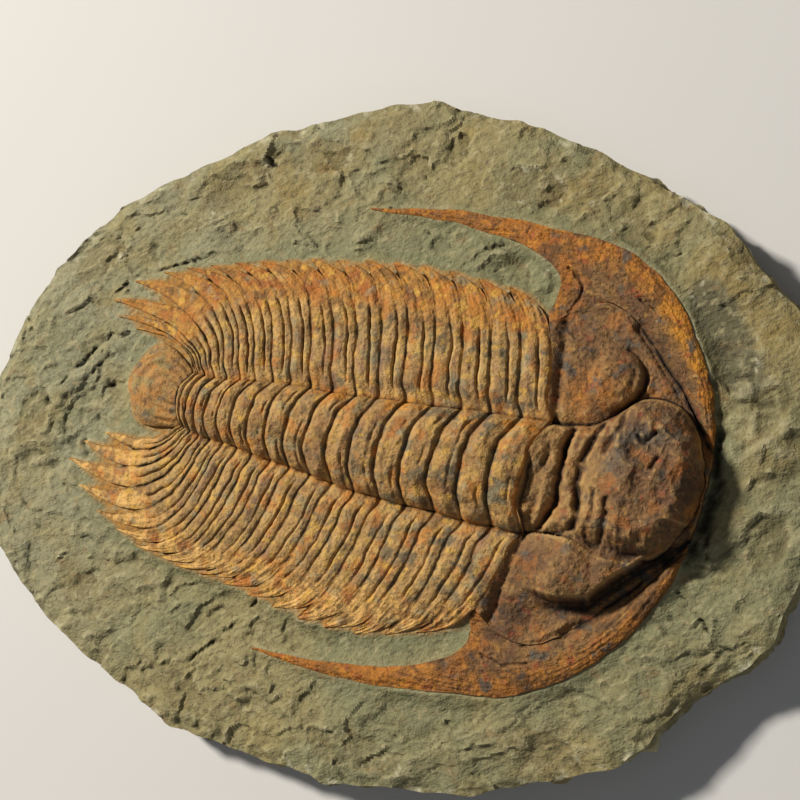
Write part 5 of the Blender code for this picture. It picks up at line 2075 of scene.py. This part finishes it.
@dataclass(frozen=True)
class Studio:
    """A plain pale floor, soft light from the upper left and the camera of the photograph."""

    target: tuple[float, float, float] = (12.0, 19.0, 32.0)
    distance: float = 801.0
    tilt: float = 20.0
    azimuth: float = -15.0
    turn: float = 11.5
    lens: float = 70.0
    sensor: float = 36.0
    clip_metres: tuple[float, float] = (0.01, 60.0)
    floor_half: float = 12000.0
    floor_colour: str = "#CFCDC9"
    floor_roughness: float = 0.95
    lamps: tuple[Lamp, ...] = (
        Lamp("key", 157.0, 42.0, 3200.0, 380.0, 148.0, "#FFFAF1"),
        Lamp("fill", -60.0, 55.0, 1700.0, 1200.0, 2.0, "#EEF2FF"),
    )
    sky: float = 0.12
    sky_colour: str = "#E9EDF2"

    def aim(self, thing: bpy.types.Object, place: Vector, up: Vector) -> None:
        """Set a camera or light at a place in metres, looking at the target.

        Args:
            thing: The camera or light.
            place: Where it stands.
            up: Way that is up in its view.
        """
        back = (place - Vector(self.target) * METRES).normalized()
        right = up.cross(back).normalized()
        over = back.cross(right)
        thing.matrix_world = Matrix.Translation(place) @ Matrix((right, over, back)).transposed().to_4x4()

    def camera(self) -> None:
        """Add the camera, tilted from straight above, and make it the scene's."""
        lens = bpy.data.cameras.new("camera")
        lens.lens = self.lens
        lens.sensor_width = self.sensor
        lens.clip_start, lens.clip_end = self.clip_metres
        camera = bpy.data.objects.new("camera", lens)
        bpy.context.scene.collection.objects.link(camera)
        tilt, azimuth, turn = (math.radians(a) for a in (self.tilt, self.azimuth, self.turn))
        aside = math.sin(tilt)
        way = Vector((aside * math.cos(azimuth), aside * math.sin(azimuth), math.cos(tilt)))
        up = Vector((-math.sin(turn), math.cos(turn), 0.0))
        self.aim(camera, (Vector(self.target) + way * self.distance) * METRES, up)
        bpy.context.scene.camera = camera

    def light(self, lamp: Lamp) -> None:
        """Add an area light that looks at the target.

        Args:
            lamp: Its sizes, place and colour.
        """
        glow = bpy.data.lights.new(lamp.name, "AREA")
        glow.size = lamp.size * METRES
        glow.energy = lamp.power
        glow.color = linear_colour(lamp.colour)[:3]
        light = bpy.data.objects.new(lamp.name, glow)
        bpy.context.scene.collection.objects.link(light)
        b, e = math.radians(lamp.bearing), math.radians(lamp.elevation)
        way = Vector((math.cos(e) * math.cos(b), math.cos(e) * math.sin(b), math.sin(e)))
        self.aim(light, (Vector(self.target) + way * lamp.distance) * METRES, Vector((0.0, 0.0, 1.0)))

    def floor(self) -> None:
        """Lay the plain pale floor that the slab rests on."""
        half = self.floor_half
        corners = [(-half, -half, 0.0), (half, -half, 0.0), (half, half, 0.0), (-half, half, 0.0)]
        mesh = bpy.data.meshes.new("floor")
        mesh.from_pydata([tuple(METRES * c for c in corner) for corner in corners], [], [(0, 1, 2, 3)])
        paint = bpy.data.materials.new("matt pale floor paint")
        paint.use_nodes = True
        shader = paint.node_tree.nodes["Principled BSDF"]
        shader.inputs["Base Color"].default_value = linear_colour(self.floor_colour)
        shader.inputs["Roughness"].default_value = self.floor_roughness
        mesh.materials.append(paint)
        floor = bpy.data.objects.new("floor", mesh)
        bpy.context.scene.collection.objects.link(floor)

    def sky_light(self) -> None:
        """Set an even pale sky."""
        world = bpy.data.worlds.new("studio")
        world.use_nodes = True
        background = world.node_tree.nodes["Background"]
        background.inputs["Color"].default_value = linear_colour(self.sky_colour)
        background.inputs["Strength"].default_value = self.sky
        bpy.context.scene.world = world

    def build(self) -> None:
        """Set up the whole studio."""
        self.camera()
        self.floor()
        self.sky_light()
        for lamp in self.lamps:
            self.light(lamp)
        bpy.context.scene.view_settings.view_transform = "Standard"


def main() -> None:
    """Build the studio, the plates from head to tail and then the rock that they lie on."""
    logging.basicConfig(level=logging.INFO, format="%(message)s")
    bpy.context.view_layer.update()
    Studio().build()
    grain = Grain(GRAIN_SEED)
    cover = Cover()
    spines = Cover()
    head, cheek, thorax, tail, stone = (
        finish.dress() for finish in (HEAD_SHELL, CHEEK_SHELL, THORAX_SHELL, TAIL_SHELL, SILTSTONE))
    plates = [(Cranidium(), head, "head_shell")]
    plates += [(FreeCheek(side), cheek, "cheek_shell") for side in Side]
    plates += [(ThoracicSegment(number), thorax, "thorax_shell") for number in range(THORAX.count)]
    plates += [(Pygidium(), tail, "tail_shell")]
    for plate, finish, slot in plates:
        sheet = plate.sheet(grain)
        cover.mark(sheet)
        if slot in ("thorax_shell", "tail_shell"):
            spines.mark(sheet)
        hand_over(plate_mesh(plate.name, sheet, LIE.bed, finish), plate.node)
    slab = MatrixSlab()
    hand_over(slab.build(cover, spines, grain, stone), slab.node)


if __name__ == "__main__":
    main()
